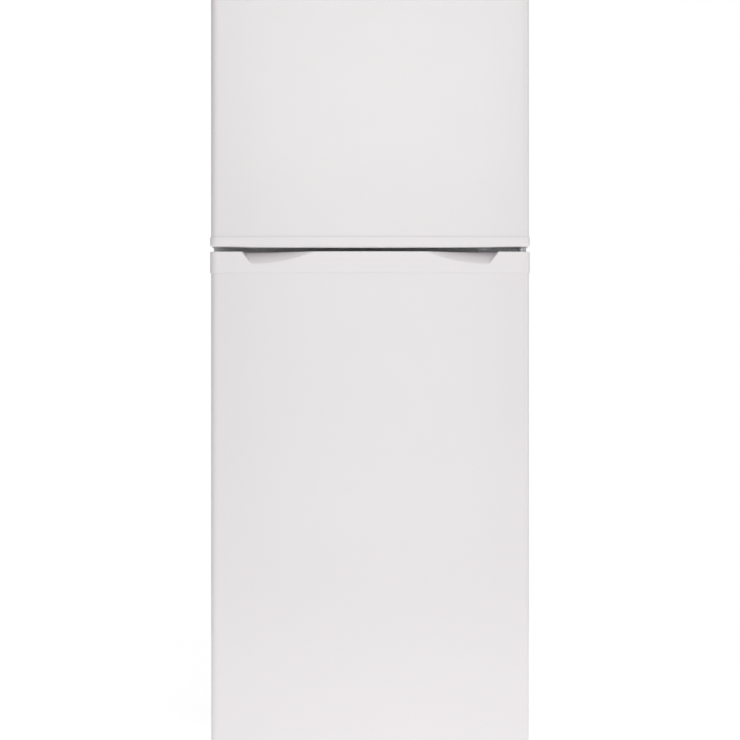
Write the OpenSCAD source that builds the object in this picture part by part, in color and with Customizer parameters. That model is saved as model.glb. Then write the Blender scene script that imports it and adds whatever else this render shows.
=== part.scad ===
// Top freezer refrigerator, free standing, two doors hinged on the right.
// Frame: millimetres, +Z up, the doors face -Y, origin on the floor under the middle of the whole object.

/* [Cabinet] */
// Width of the steel cabinet
case_w = 590; // [540:1:640]
// Height of the steel cabinet, from its underside to its top
case_h = 1484; // [1440:1:1640]
// Depth of the cabinet, from its front flange to its back panel
case_d = 555; // [520:1:640]
// Height of the cabinet's underside above the floor
case_lift = 16; // [14:1:24]
// Thickness of the cabinet's steel sheet
sheet_t = 1; // [0.6:0.1:1.5]
// Width of the front flange that the door seals land on
flange_w = 32; // [30:1:36]

/* [Compartments] */
// Thickness of the foamed side walls of the fresh food compartment
fridge_wall = 45; // [38:1:50]
// Thickness of the foamed side walls of the freezer
freezer_wall = 55; // [50:1:70]
// Thickness of the foamed back wall
back_wall = 52; // [45:1:70]
// Thickness of the foam between the two compartments
divider_t = 77; // [74:1:84]
// Thickness of the foam over the freezer
roof_t = 50; // [44:1:70]
// Thickness of the foam over and in front of the machine compartment
machine_wall = 40; // [34:1:50]
// Wall of the two thermoformed liners
liner_t = 1.5; // [1:0.1:2.5]
// Radius of the liners' long corners
liner_r = 14; // [8:1:20]

/* [Doors] */
// How far the door skins stand out past each side of the cabinet
door_overhang = 1; // [0:0.5:3]
// Thickness of a door at its two edges
door_t = 52; // [45:1:60]
// How far the middle of a door's front stands proud of its edges
door_bow = 12; // [6:1:20]
// Radius of a door's front edges
door_edge_r = 12; // [8:1:16]
// Height of the freezer door
freezer_door_h = 501; // [440:1:560]
// Gap between the two doors at their ends
door_gap = 9; // [8:1:12]
// Height of the fridge door's underside above the floor
door_lift = 34; // [30:1:44]
// Thickness of a door's painted sheet
skin_t = 0.8; // [0.6:0.1:1.2]
// How far the plastic end caps stand out past the skins
cap_proud = 1.8; // [0.5:0.1:3]
// Height of the grip cap on top of the fridge door
grip_cap_h = 40; // [36:1:60]
// Height of the cap under the freezer door
freezer_cap_h = 18; // [16:1:26]
// Height of the two plain caps
plain_cap_h = 20; // [16:1:30]
// How far the middle of the freezer door's underside hangs below its ends
cap_crown = 2.4; // [0:0.1:3]
// How far each door's inner ridge reaches into its compartment
ridge_depth = 32; // [24:1:38]
// Width of that ridge
ridge_w = 26; // [20:1:32]

/* [Finger grips] */
// Distance of a grip's outer end from the door's side, at the top
grip_end = 57; // [48:1:80]
// Half distance between the inner ends of the two grips
grip_inner = 98; // [80:1:130]
// Height of a grip at its outer end
grip_h = 24; // [16:1:28]
// Depth of a grip at its outer end
grip_depth = 28; // [20:1:32]

/* [Hinges] */
// Distance of the hinge pins from the cabinet's side
hinge_inset = 11; // [10:0.5:16]
// Distance of the hinge pins in front of a door's inner face
hinge_setback = 25; // [22:1:30]
// Diameter of the hinge pins
pin_d = 8; // [6:0.5:9]
// Radial running clearance of pins, axles, stems and studs in their holes
run_clearance = 0.08; // [0.02:0.01:0.1]
// Length of pin inside a cap
pin_grip = 13; // [10:1:14]
// Thickness of the hinge plates
hinge_t = 3; // [2.5:0.5:3]

/* [Seals] */
// Gap between a closed door and the cabinet, filled by the seal
seal_gap = 12; // [10:0.5:16]
// Clearance left in front of the flange by the closed seal
seal_clearance = 0.5; // [0.3:0.1:1]
// Width of the magnetic seal
seal_w = 20; // [16:1:22]
// Distance of the seal from the door's edges
seal_inset = 8; // [6:1:10]

/* [Shelves, bins and drawers] */
// Thickness of the shelf glass
glass_t = 4; // [3:0.5:5]
// Distance between two fridge shelves
shelf_pitch = 209; // [150:1:240]
// Height of the freezer's shelf above its floor
freezer_shelf_h = 210; // [150:1:260]
// Height kept for bottles, from the bottle bin's floor to the lowest small bin
bottle_space = 300; // [240:1:360]
// Distance between the fridge door's small bins
bin_pitch = 195; // [120:1:260]
// Height of the bottle bin's wall
bottle_bin_h = 112; // [90:1:130]
// Height of the fridge door's small bins
small_bin_h = 74; // [60:1:90]
// Distance between the freezer door's bins
freezer_bin_pitch = 178; // [120:1:220]
// Height of the freezer door's bins
freezer_bin_h = 60; // [50:1:80]
// How far the fridge door's bins reach past the cabinet's front
bin_reach = 92; // [70:1:96]
// How far the freezer door's bins reach past the cabinet's front
freezer_bin_reach = 70; // [50:1:74]
// Wall of the bins and drawers
tub_t = 2.4; // [2:0.1:3]
// Height of the two drawers
drawer_h = 186; // [140:1:192]

/* [Machine compartment and underside] */
// Height of the machine compartment above the cabinet's underside
machine_h = 215; // [205:1:240]
// Depth of the machine compartment
machine_d = 190; // [180:1:210]
// Diameter of the compressor's shell
compressor_d = 146; // [120:1:150]
// Height of the compressor's shell
compressor_h = 150; // [120:1:155]
// Radius of the rear rollers
roller_r = 15; // [13:0.5:16]
// Radius of the front feet
foot_r = 16; // [12:1:20]
// Distance of the feet and the rollers from the cabinet's sides
foot_inset = 33; // [30:1:50]
// Gap between the compressor's mounts and the right roller
compressor_inset = 48; // [42:1:80]

/* [Condenser] */
// Distance of the condenser behind the back panel
condenser_gap = 22; // [18:1:40]
// Number of tube runs
condenser_runs = 16; // [10:2:20]
// Number of wires on each side of the tubes
condenser_wires_n = 22; // [12:1:30]
// Radius of the condenser's tube and of the pipes that meet it
tube_r = 2.5; // [2:0.1:3.5]
// Radius of the condenser's wires
wire_r = 0.9; // [0.6:0.1:1.4]

/* [Hidden] */
$fn = 64;
e = 1; // overcut of a subtracted shape past an open face

// Colours
paint_white = [0.92, 0.92, 0.93];
plastic_white = [0.93, 0.93, 0.93];
liner_white = [0.95, 0.96, 0.97];
steel_grey = [0.62, 0.63, 0.65];
zinc_grey = [0.72, 0.73, 0.75];
foam_cream = [0.93, 0.88, 0.68];
seal_grey = [0.80, 0.81, 0.82];
black_paint = [0.07, 0.07, 0.08];
rubber_black = [0.06, 0.06, 0.06];
copper = [0.75, 0.42, 0.25];
clear_plastic = [0.85, 0.91, 0.93, 0.5];

// ---- Depths, front (-Y) to back (+Y) ----
wire_gap = 0.1; // left between the wires and the tube they are welded to
condenser_t = 2 * tube_r + 4 * wire_r + 2 * wire_gap;
depth_all = cap_proud + door_bow + door_t + seal_gap + case_d + condenser_gap + condenser_t;
door_apex_y = -depth_all / 2 + cap_proud;
door_back_y = door_apex_y + door_bow + door_t;
case_front_y = door_back_y + seal_gap;
case_back_y = case_front_y + case_d;
hinge_y = door_back_y - hinge_setback;
machine_y = case_back_y - machine_d;
condenser_y = case_back_y + condenser_gap + condenser_t / 2;
cavity_back_y = case_back_y - back_wall;

// ---- Heights ----
case_top = case_lift + case_h;
door_top_drop = 4;
freezer_top = case_top - door_top_drop;
freezer_bottom = freezer_top - freezer_door_h;
fridge_top = freezer_bottom - door_gap;
fridge_bottom = door_lift;
machine_top = case_lift + machine_h;
rim_cover = 6; // how far the liners' rims start inside the seals' inner edges
rim_h = 8;
fridge_floor = fridge_bottom + seal_inset + seal_w + rim_h;
fridge_ceiling = fridge_top - seal_inset - seal_w - rim_cover;
freezer_floor = fridge_ceiling + divider_t;
freezer_ceiling = case_top - roof_t;
hump_top = machine_top + machine_wall;
hump_y = machine_y - machine_wall;
rail_bottom = fridge_ceiling + rim_h;
rail_top = freezer_floor - rim_h;

// ---- Widths ----
case_x = case_w / 2;
inner_x = case_x - sheet_t;
flange_x = case_x - flange_w;
door_x = case_x + door_overhang;
hinge_x = case_x - hinge_inset;
foot_x = case_x - foot_inset;
fridge_x = case_x - fridge_wall;
freezer_x = case_x - freezer_wall;
rim_side = 10;
fridge_ridge_x = fridge_x - rim_side - 2;
freezer_ridge_x = freezer_x - rim_side;

function arc(cx, cy, r, from, to, n) =
    [for (i = [0:n]) let (a = from + (to - from) * i / n) [cx + r * cos(a), cy + r * sin(a)]];

// Plan outline of a door, grown by g: flat back, straight sides, round front edges and a bowed front.
function door_outline(g, back) =
    let (
        w = door_x + g,
        r = door_edge_r + g,
        bow_r = (w * w + door_bow * door_bow) / (2 * door_bow),
        bow_y = door_apex_y - g + bow_r,
        edge_y = bow_y - sqrt(pow(bow_r - r, 2) - pow(w - r, 2)),
        turn = atan2(edge_y - bow_y, w - r)
    )
    concat(
        [[-w, back], [w, back]],
        arc(w - r, edge_y, r, 0, turn, 6),
        [for (i = [1:23]) let (a = turn + (-180 - 2 * turn) * i / 24)
            [bow_r * cos(a), bow_y + bow_r * sin(a)]],
        arc(-w + r, edge_y, r, -180 - turn, -180, 6)
    );

function round_rect(x0, z0, x1, z1, r, n = 5) = concat(
    arc(x1 - r, z1 - r, r, 0, 90, n),
    arc(x0 + r, z1 - r, r, 90, 180, n),
    arc(x0 + r, z0 + r, r, 180, 270, n),
    arc(x1 - r, z0 + r, r, 270, 360, n)
);

module box(x0, y0, z0, x1, y1, z1) {
    translate([x0, y0, z0]) cube([x1 - x0, y1 - y0, z1 - z0]);
}

// A profile drawn in X and Z, extruded from y0 to y1.
module along_y(y0, y1) {
    translate([0, y1, 0]) rotate([90, 0, 0]) linear_extrude(y1 - y0) children();
}

module rod_x(x0, x1, y, z, r) {
    translate([x0, y, z]) rotate([0, 90, 0]) cylinder(h = x1 - x0, r = r);
}

module rod_y(x, y0, y1, z, r) {
    translate([x, y1, z]) rotate([90, 0, 0]) cylinder(h = y1 - y0, r = r);
}

module rod_z(x, y, z0, z1, r) {
    translate([x, y, z0]) cylinder(h = z1 - z0, r = r);
}

module both_sides() {
    children();
    mirror([1, 0, 0]) children();
}

// ================= Cabinet =================
module outer_case() {
    color(paint_white) difference() {
        box(-case_x, case_front_y, case_lift, case_x, case_back_y, case_top);
        box(-inner_x, case_front_y + sheet_t, case_lift - e, inner_x, case_back_y + e, case_top - sheet_t);
        box(-flange_x, case_front_y - e, case_lift - e,
            flange_x, case_front_y + 2 * sheet_t, case_top - flange_w);
        hinge_screw_holes();
        hole_plug_stems();
    }
}

module back_panel() {
    color(zinc_grey)
        box(-inner_x, case_back_y - sheet_t, machine_top + sheet_t, inner_x, case_back_y, case_top - sheet_t);
}

module machine_panel() {
    color(zinc_grey) difference() {
        union() {
            box(-inner_x, machine_y, case_lift + sheet_t,
                inner_x, machine_y + sheet_t, machine_top + sheet_t);
            box(-inner_x, machine_y, machine_top, inner_x, case_back_y, machine_top + sheet_t);
            // cheeks that stiffen the cabinet's sides beside the compressor
            both_sides() box(inner_x - sheet_t, machine_y, case_lift + sheet_t,
                inner_x, case_back_y, machine_top + sheet_t);
        }
        rod_z(drain_x, drain_y, machine_top - e, machine_top + 2 * sheet_t, hose_r);
    }
}

base_rail_top = fridge_bottom + seal_inset + seal_w + 2;
foot_y = case_front_y + 36;
stud_r = 4;
nut_r = 9;
nut_h = 10;
stud_top = case_lift + sheet_t + nut_h + 16;

module base_frame() {
    color(zinc_grey) difference() {
        union() {
            box(-flange_x, case_front_y, case_lift, flange_x, case_front_y + sheet_t, base_rail_top);
            box(-inner_x, case_front_y + sheet_t, case_lift,
                inner_x, machine_y + sheet_t, case_lift + sheet_t);
            both_sides() rod_z(foot_x, foot_y, case_lift, case_lift + sheet_t + nut_h, nut_r);
        }
        both_sides() rod_z(foot_x, foot_y, case_lift - e, stud_top, stud_r + run_clearance);
        hinge_screw_holes();
    }
}

rail_return = 14;
module centre_rail() {
    color(paint_white) difference() {
        union() {
            box(-flange_x, case_front_y, rail_bottom, flange_x, case_front_y + sheet_t, rail_top);
            for (z = [rail_bottom, rail_top - sheet_t])
                box(-flange_x, case_front_y, z, flange_x, case_front_y + rail_return, z + sheet_t);
        }
        hinge_screw_holes();
        hole_plug_stems();
    }
}

// The fresh food cavity, grown by g: a box with a hump over the machine compartment.
module fridge_cavity(g) {
    difference() {
        along_y(case_front_y + sheet_t - (g > 0 ? 0 : sheet_t + e), cavity_back_y + g)
            polygon(round_rect(
                -fridge_x - g, fridge_floor - g, fridge_x + g, fridge_ceiling + g, liner_r + g));
        box(-fridge_x - 2 * e - g, hump_y + g, fridge_floor - 2 * e - g, fridge_x + 2 * e + g,
            cavity_back_y + 2 * e + g, hump_top - g);
    }
}

module freezer_cavity(g) {
    along_y(case_front_y + sheet_t - (g > 0 ? 0 : sheet_t + e), cavity_back_y + g)
        polygon(round_rect(
            -freezer_x - g, freezer_floor - g, freezer_x + g, freezer_ceiling + g, liner_r + g));
}

// Flat rims that close the front of the foam between a cavity and the steel around it.
module fridge_rim() {
    box(-flange_x, case_front_y, base_rail_top, flange_x, case_front_y + liner_t, rail_bottom);
}

module freezer_rim() {
    box(-flange_x, case_front_y, rail_top, flange_x, case_front_y + liner_t, case_top - flange_w);
}

ledge_reach = 12;
ledge_h = 8;
shelf_back_y = cavity_back_y - 14;
shelf_front_y = case_front_y + bin_reach + 16;
crisper_cover_z = hump_top + ledge_h + 1;
shelf_headroom = 120; // least space kept over the highest shelf
shelf_n = 1 + floor((fridge_ceiling - shelf_headroom - crisper_cover_z) / shelf_pitch);
shelf_levels = [for (i = [0:shelf_n - 1]) crisper_cover_z + i * shelf_pitch];
ledge_step = 56;
spare_ledges = [for (i = [1:1:shelf_n - 1]) for (d = [-1, 1]) shelf_levels[i] + d * ledge_step];
freezer_shelf_z = freezer_floor + freezer_shelf_h;

module fridge_liner() {
    color(liner_white) difference() {
        union() {
            difference() {
                union() {
                    fridge_cavity(liner_t);
                    fridge_rim();
                }
                fridge_cavity(0);
            }
            both_sides() {
                for (z = concat(shelf_levels, spare_ledges))
                    box(fridge_x - ledge_reach, shelf_front_y + 6, z - ledge_h,
                        fridge_x + liner_t / 2, shelf_back_y, z);
                // low runners that the drawers slide on
                for (x = [drawer_x0 + 28, drawer_x1 - 36])
                    box(x, shelf_front_y - 10, fridge_floor - liner_t / 2, x + 8, hump_y - 4, drawer_z);
            }
        }
        fridge_mouth();
    }
}

// The rims are flat in front of the cavities, so nothing of them may close the openings.
module fridge_mouth() {
    along_y(case_front_y - e, case_front_y + 3 * liner_t)
        polygon(round_rect(-fridge_x, fridge_floor, fridge_x, fridge_ceiling, liner_r));
}

module freezer_liner() {
    color(liner_white) difference() {
        union() {
            difference() {
                union() {
                    freezer_cavity(liner_t);
                    freezer_rim();
                }
                freezer_cavity(0);
            }
            both_sides()
                box(freezer_x - ledge_reach, freezer_shelf_front_y + 8, freezer_shelf_z - ledge_h,
                    freezer_x + liner_t / 2, cover_y - 4, freezer_shelf_z);
        }
        along_y(case_front_y - e, case_front_y + 3 * liner_t)
            polygon(round_rect(-freezer_x, freezer_floor, freezer_x, freezer_ceiling, liner_r));
    }
}

module insulation_foam() {
    color(foam_cream) difference() {
        box(-inner_x, case_front_y + sheet_t, case_lift + sheet_t,
            inner_x, case_back_y - sheet_t, case_top - sheet_t);
        box(-inner_x - e, machine_y, case_lift - e, inner_x + e, case_back_y + e, machine_top + sheet_t);
        fridge_cavity(liner_t);
        freezer_cavity(liner_t);
        fridge_rim();
        freezer_rim();
        for (z = [rail_bottom, rail_top - sheet_t])
            box(-flange_x, case_front_y, z, flange_x, case_front_y + rail_return, z + sheet_t);
        both_sides() rod_z(foot_x, foot_y, case_lift, stud_top + 6, nut_r);
        along_y(case_front_y - e, case_front_y + 3 * liner_t) {
            polygon(round_rect(-fridge_x, fridge_floor, fridge_x, fridge_ceiling, liner_r));
            polygon(round_rect(-freezer_x, freezer_floor, freezer_x, freezer_ceiling, liner_r));
        }
        hinge_screw_holes();
        hole_plug_stems();
        rod_z(drain_x, drain_y, machine_top, hose_top, hose_r);
    }
}

// ================= Hinges =================
hinge_plate_x = hinge_x - 79;
top_plate_back = case_front_y + 62;
collar_r = 7;
collar_gap = 0.3;
nose_r = 8;
pin_r = pin_d / 2;
plate_z = (fridge_top + freezer_bottom - hinge_t) / 2;
middle_tab_z0 = fridge_top - seal_inset + 1;
middle_tab_z1 = freezer_bottom + seal_inset - 1;
screw_r = 2.5;
screw_head_r = 4.5;
screw_head_h = 2.4;
screw_len = 12;

// A hinge leaf in plan: broad where it is screwed down, narrow and round at the pin.
module leaf(back, neck_y, z) {
    translate([0, 0, z]) linear_extrude(hinge_t) polygon(concat(
        [
            [hinge_x + nose_r, back], [hinge_plate_x, back],
            [hinge_plate_x, neck_y], [hinge_x - 30, hinge_y + 16]
        ],
        arc(hinge_x, hinge_y, nose_r, 180, 360, 10)
    ));
}

module top_hinge() {
    color(zinc_grey) difference() {
        union() {
            leaf(top_plate_back, case_front_y + 4, case_top);
            rod_z(hinge_x, hinge_y, freezer_top - pin_grip, case_top + hinge_t, pin_r);
        }
        hinge_screw_holes();
    }
}

module middle_hinge() {
    color(zinc_grey) difference() {
        union() {
            leaf(case_front_y, case_front_y - 6, plate_z);
            box(hinge_plate_x, case_front_y - hinge_t, middle_tab_z0,
                flange_x - 1, case_front_y, middle_tab_z1);
            rod_z(hinge_x, hinge_y, fridge_top - pin_grip, freezer_bottom + pin_grip, pin_r);
            rod_z(hinge_x, hinge_y, plate_z, freezer_bottom - collar_gap, collar_r);
        }
        hinge_screw_holes();
    }
}

module bottom_hinge() {
    z = case_lift - hinge_t;
    color(zinc_grey) difference() {
        union() {
            leaf(top_plate_back, case_front_y + 4, z);
            rod_z(hinge_x, hinge_y, z, fridge_bottom + pin_grip, pin_r);
            rod_z(hinge_x, hinge_y, z, fridge_bottom - collar_gap, collar_r);
        }
        hinge_screw_holes();
        rod_z(foot_x, foot_y, z - e, z + hinge_t + e, stud_r + run_clearance);
    }
}

// Places of the screws, set back from the pins
top_screws = [for (p = [[64, 18], [64, 48], [12, 48]]) [hinge_x - p[0], case_front_y + p[1]]];
bottom_screws = [for (p = [[64, 18], [64, 48], [44, 48]]) [hinge_x - p[0], case_front_y + p[1]]];
middle_screws = [hinge_x - 69, hinge_x - 39];
middle_screw_z = plate_z + hinge_t + screw_head_r + 0.2;

module hinge_screw_holes() {
    for (p = top_screws) rod_z(p[0], p[1], case_top - screw_len, case_top + hinge_t, screw_r);
    for (p = bottom_screws) rod_z(p[0], p[1], case_lift - hinge_t, case_lift + screw_len, screw_r);
    for (x = middle_screws)
        rod_y(x, case_front_y - hinge_t, case_front_y + screw_len, middle_screw_z, screw_r);
}

module hinge_screws() {
    color(steel_grey) {
        for (p = top_screws) {
            rod_z(p[0], p[1], case_top - screw_len, case_top + hinge_t, screw_r);
            rod_z(p[0], p[1], case_top + hinge_t, case_top + hinge_t + screw_head_h, screw_head_r);
        }
        for (p = bottom_screws) {
            rod_z(p[0], p[1], case_lift - hinge_t, case_lift + screw_len, screw_r);
            rod_z(p[0], p[1], case_lift - hinge_t - screw_head_h, case_lift - hinge_t, screw_head_r);
        }
        for (x = middle_screws) {
            rod_y(x, case_front_y - hinge_t, case_front_y + screw_len, middle_screw_z, screw_r);
            rod_y(x, case_front_y - hinge_t - screw_head_h, case_front_y - hinge_t,
                middle_screw_z, screw_head_r);
        }
    }
}

// The spare hinge holes on the left, for a door hung the other way, are closed by plugs.
plug_r = 3;
plug_head_r = 6;
plug_head_h = 1.6;
plug_len = 8;

module hole_plug_stems() {
    for (p = top_screws) rod_z(-p[0], p[1], case_top - plug_len, case_top, plug_r);
    for (x = middle_screws) rod_y(-x, case_front_y, case_front_y + plug_len, middle_screw_z, plug_r);
}

module hinge_hole_plugs() {
    color(plastic_white) {
        for (p = top_screws) {
            rod_z(-p[0], p[1], case_top - plug_len, case_top, plug_r);
            rod_z(-p[0], p[1], case_top, case_top + plug_head_h, plug_head_r);
        }
        for (x = middle_screws) {
            rod_y(-x, case_front_y, case_front_y + plug_len, middle_screw_z, plug_r);
            rod_y(-x, case_front_y - plug_head_h, case_front_y, middle_screw_z, plug_head_r);
        }
    }
}

cover_wall = 2;
cover_h = 18;
cover_r = 6;
cover_x0 = hinge_plate_x - 4;
cover_x1 = hinge_x + nose_r + cover_wall + 1;
cover_y0 = hinge_y - nose_r - cover_wall - 2;
cover_y1 = top_plate_back + 4;
module top_hinge_cover() {
    color(plastic_white) difference() {
        translate([0, 0, case_top]) linear_extrude(cover_h)
            polygon(round_rect(cover_x0, cover_y0, cover_x1, cover_y1, cover_r));
        translate([0, 0, case_top - e]) linear_extrude(cover_h - cover_wall + e)
            polygon(round_rect(cover_x0 + cover_wall, cover_y0 + cover_wall,
                cover_x1 - cover_wall, cover_y1 - cover_wall, cover_r - cover_wall));
    }
}

// ================= Feet and rollers =================
foot_pad_h = 8;
module foot() {
    color(black_paint) {
        rod_z(foot_x, foot_y, 0, foot_pad_h, foot_r);
        rod_z(foot_x, foot_y, foot_pad_h, stud_top, stud_r);
    }
}

module right_foot() { foot(); }
module left_foot() { mirror([1, 0, 0]) foot(); }

axle_r = 3;
roller_w = 16;
roller_y = case_back_y - 60;
cheek_t = 2;
plate_z0 = case_lift + 6;
plate_t = 2;
bracket_len = 40;
roller_x0 = foot_x - roller_w / 2;
roller_x1 = foot_x + roller_w / 2;
cheek_gap = 0.8;

module roller_brackets() {
    color(zinc_grey) both_sides() difference() {
        union() {
            box(roller_x0 - 12, roller_y - bracket_len / 2, plate_z0 - cheek_t,
                roller_x1 + 12, roller_y + bracket_len / 2, plate_z0);
            for (x = [roller_x0 - cheek_gap - cheek_t, roller_x1 + cheek_gap])
                box(x, roller_y - 12, roller_r - 8, x + cheek_t, roller_y + 12, plate_z0);
        }
        box(roller_x0 - cheek_gap, roller_y - roller_r - 2, plate_z0 - cheek_t - e, roller_x1 + cheek_gap,
            roller_y + roller_r + 2, plate_z0 + e);
        rod_x(roller_x0 - 15, roller_x1 + 15, roller_y, roller_r, axle_r);
    }
}

module roller_axles() {
    reach = cheek_gap + cheek_t + 2;
    color(steel_grey) both_sides() rod_x(roller_x0 - reach, roller_x1 + reach, roller_y, roller_r, axle_r);
}

module roller() {
    color(black_paint) difference() {
        rod_x(roller_x0, roller_x1, roller_y, roller_r, roller_r);
        rod_x(roller_x0 - e, roller_x1 + e, roller_y, roller_r, axle_r + run_clearance);
    }
}

module right_roller() { roller(); }
module left_roller() { mirror([1, 0, 0]) roller(); }

// ================= Refrigeration circuit =================
compressor_y = case_back_y - 98;
compressor_z = plate_z0 + plate_t + 14;
grommet_dx = 82;
grommet_dy = 60;
compressor_x = roller_x0 - compressor_inset - grommet_dx - 4;
grommet_r = 10;
bolt_r = 3;

module at_grommets() {
    for (sx = [-1, 1]) for (sy = [-1, 1])
        translate([compressor_x + sx * grommet_dx, compressor_y + sy * grommet_dy, 0]) children();
}

module compressor_plate() {
    color(zinc_grey) difference() {
        union() {
            box(-inner_x + sheet_t, machine_y + sheet_t + 2, plate_z0,
                inner_x - sheet_t, case_back_y - 2, plate_z0 + plate_t);
            box(-inner_x + sheet_t, case_back_y - 2 - plate_t, plate_z0,
                inner_x - sheet_t, case_back_y - 2, plate_z0 + 18);
        }
        both_sides() box(roller_x0 - cheek_gap, roller_y - roller_r - 2, plate_z0 - e, roller_x1 + cheek_gap,
            roller_y + roller_r + 2, plate_z0 + plate_t + e);
        at_grommets() translate([0, 0, plate_z0 - e]) cylinder(h = plate_t + 2 * e, r = bolt_r);
    }
}

seam_out = 4;
module compressor() {
    foot_t = 2.5;
    seam_h = 5;
    seam_z = compressor_h * 0.42;
    dome = 22;
    r = compressor_d / 2;
    z0 = compressor_z;
    color(black_paint) difference() {
        union() {
            // two deep drawn shells with domed ends, joined at a seam
            translate([compressor_x, compressor_y, z0]) rotate_extrude($fn = 96) polygon(concat(
                [[0, 0]],
                arc(r - dome, dome, dome, -90, 0, 6),
                [[r, seam_z], [r + seam_out, seam_z], [r + seam_out, seam_z + seam_h], [r, seam_z + seam_h]],
                arc(r - dome, compressor_h - dome, dome, 0, 90, 6),
                [[0, compressor_h]]
            ));
            for (sy = [-1, 1])
                box(compressor_x - grommet_dx - 12, compressor_y + sy * grommet_dy - 13, z0,
                    compressor_x + grommet_dx + 12, compressor_y + sy * grommet_dy + 13, z0 + foot_t);
        }
        at_grommets() translate([0, 0, z0 - e]) cylinder(h = foot_t + 2 * e, r = bolt_r);
    }
}

module compressor_grommets() {
    color(rubber_black) at_grommets() translate([0, 0, plate_z0 + plate_t]) difference() {
        cylinder(h = compressor_z - plate_z0 - plate_t, r = grommet_r);
        translate([0, 0, -e]) cylinder(h = compressor_z, r = bolt_r);
    }
}

relay_w = 56;
relay_h = 70;
relay_d = 34;
module relay_cover() {
    x0 = compressor_x - compressor_d / 2 - relay_d;
    z0 = compressor_z + compressor_h * 0.3;
    color(rubber_black) difference() {
        box(x0, compressor_y - relay_w / 2, z0, compressor_x, compressor_y + relay_w / 2, z0 + relay_h);
        rod_z(compressor_x, compressor_y, z0 - e, z0 + relay_h + e, compressor_d / 2 + seam_out + 0.3);
        // hollow behind
        box(x0 + 2, compressor_y - relay_w / 2 + 2, z0 + 2,
            compressor_x, compressor_y + relay_w / 2 - 2, z0 + relay_h - 2);
    }
}

// A pipe along points joined by straight lines that follow X, Y or Z, with round bends.
module pipe(points, r, bend) {
    n = len(points) - 1;
    for (i = [0:n - 1]) let (
        p = points[i], q = points[i + 1],
        u = (q - p) / norm(q - p),
        side = [u[1], u[2], u[0]],
        up = cross(u, side),
        a = i == 0 ? p : p + bend * u,
        b = i == n - 1 ? q : q - bend * u
    ) multmatrix([
        [side[0], up[0], u[0], a[0]], [side[1], up[1], u[1], a[1]], [side[2], up[2], u[2], a[2]], [0, 0, 0, 1]
    ]) cylinder(h = norm(b - a), r = r);
    for (i = [1:1:n - 1]) let (
        p = points[i],
        u = (p - points[i - 1]) / norm(p - points[i - 1]),
        v = (points[i + 1] - p) / norm(points[i + 1] - p),
        w = cross(u, v),
        c = p - bend * u + bend * v
    ) multmatrix([
        [-v[0], u[0], w[0], c[0]], [-v[1], u[1], w[1], c[1]], [-v[2], u[2], w[2], c[2]], [0, 0, 0, 1]
    ]) rotate_extrude(angle = 90) translate([bend, 0]) circle(r = r);
}

drier_x = compressor_x - 180;
drier_z = machine_top - 17;
drier_r = 9;
pipe_bend = 14;
pipe_z = drier_z - 2;
condenser_x = case_x - 50;
condenser_z0 = machine_top + 60;
// the runs stand a whole number of fifths of a millimetre apart, so that runs and bends meet exactly
run_pitch = floor((case_top - 90 - condenser_z0) / (condenser_runs - 1) * 5 + 0.001) / 5;
condenser_z1 = condenser_z0 + (condenser_runs - 1) * run_pitch;
bend_x = condenser_x - run_pitch / 2;
riser_x = condenser_x + 17;
module refrigerant_pipes() {
    top_z = compressor_z + compressor_h;
    color(copper) {
        // hot gas: from the compressor up the back to the condenser's highest run
        pipe([
            [compressor_x + 30, compressor_y + 20, top_z], [compressor_x + 30, compressor_y + 20, pipe_z],
            [riser_x, compressor_y + 20, pipe_z], [riser_x, condenser_y, pipe_z],
            [riser_x, condenser_y, condenser_z1], [bend_x, condenser_y, condenser_z1]
        ], tube_r, pipe_bend);
        // liquid: from the condenser's lowest run to the drier
        pipe([
            [bend_x, condenser_y, condenser_z0], [bend_x + 20, condenser_y, condenser_z0],
            [bend_x + 20, condenser_y, drier_z], [bend_x + 20, case_back_y - 30, drier_z],
            [drier_x + 20, case_back_y - 30, drier_z]
        ], tube_r, pipe_bend);
        // suction pipe up into the foam, and the crimped service stub
        rod_z(compressor_x - 30, compressor_y - 20, top_z, machine_top, tube_r + 1.5);
        rod_z(compressor_x, compressor_y + 44, top_z, top_z + 24, tube_r + 0.5);
    }
}

module filter_drier() {
    color(copper) {
        rod_x(drier_x - 50, drier_x + 20, case_back_y - 30, drier_z, drier_r);
        // capillary into the foam
        pipe([
            [drier_x - 50, case_back_y - 30, drier_z], [drier_x - 80, case_back_y - 30, drier_z],
            [drier_x - 80, case_back_y - 30, machine_top]
        ], 1.5, 10);
    }
}

module condenser_tube() {
    color(black_paint) {
        for (i = [0:condenser_runs - 1])
            rod_x(-bend_x, bend_x, condenser_y, condenser_z0 + i * run_pitch, tube_r);
        for (i = [0:condenser_runs - 2]) let (side = i % 2 == 0 ? -1 : 1)
            translate([side * bend_x, condenser_y, condenser_z0 + (i + 0.5) * run_pitch]) rotate([90, 0, 0])
                rotate([0, 0, side > 0 ? -90 : 90])
                    rotate_extrude(angle = 180) translate([run_pitch / 2, 0]) circle(r = tube_r);
    }
}

clip_w = 16;
clip_inset = 2;
module condenser_wires() {
    half = bend_x - clip_inset - clip_w - 8;
    pitch = 2 * half / (condenser_wires_n - 1);
    gap = tube_r + wire_r + wire_gap;
    color(black_paint)
        for (i = [0:condenser_wires_n - 1]) for (side = [-1, 1])
            rod_z(-half + i * pitch, condenser_y + side * gap, condenser_z0 - 14, condenser_z1 + 14, wire_r);
}

// Clips hold the condenser off the back panel at its four corners.
module condenser_clips() {
    x1 = bend_x - clip_inset;
    x0 = x1 - clip_w;
    color(rubber_black)
        both_sides() for (i = [1, condenser_runs - 2]) let (z = condenser_z0 + i * run_pitch)
            difference() {
                box(x0, case_back_y, z - 9, x1, condenser_y + tube_r + 1, z + 9);
                rod_x(x0 - e, x1 + e, condenser_y, z, tube_r);
            }
}

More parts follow.
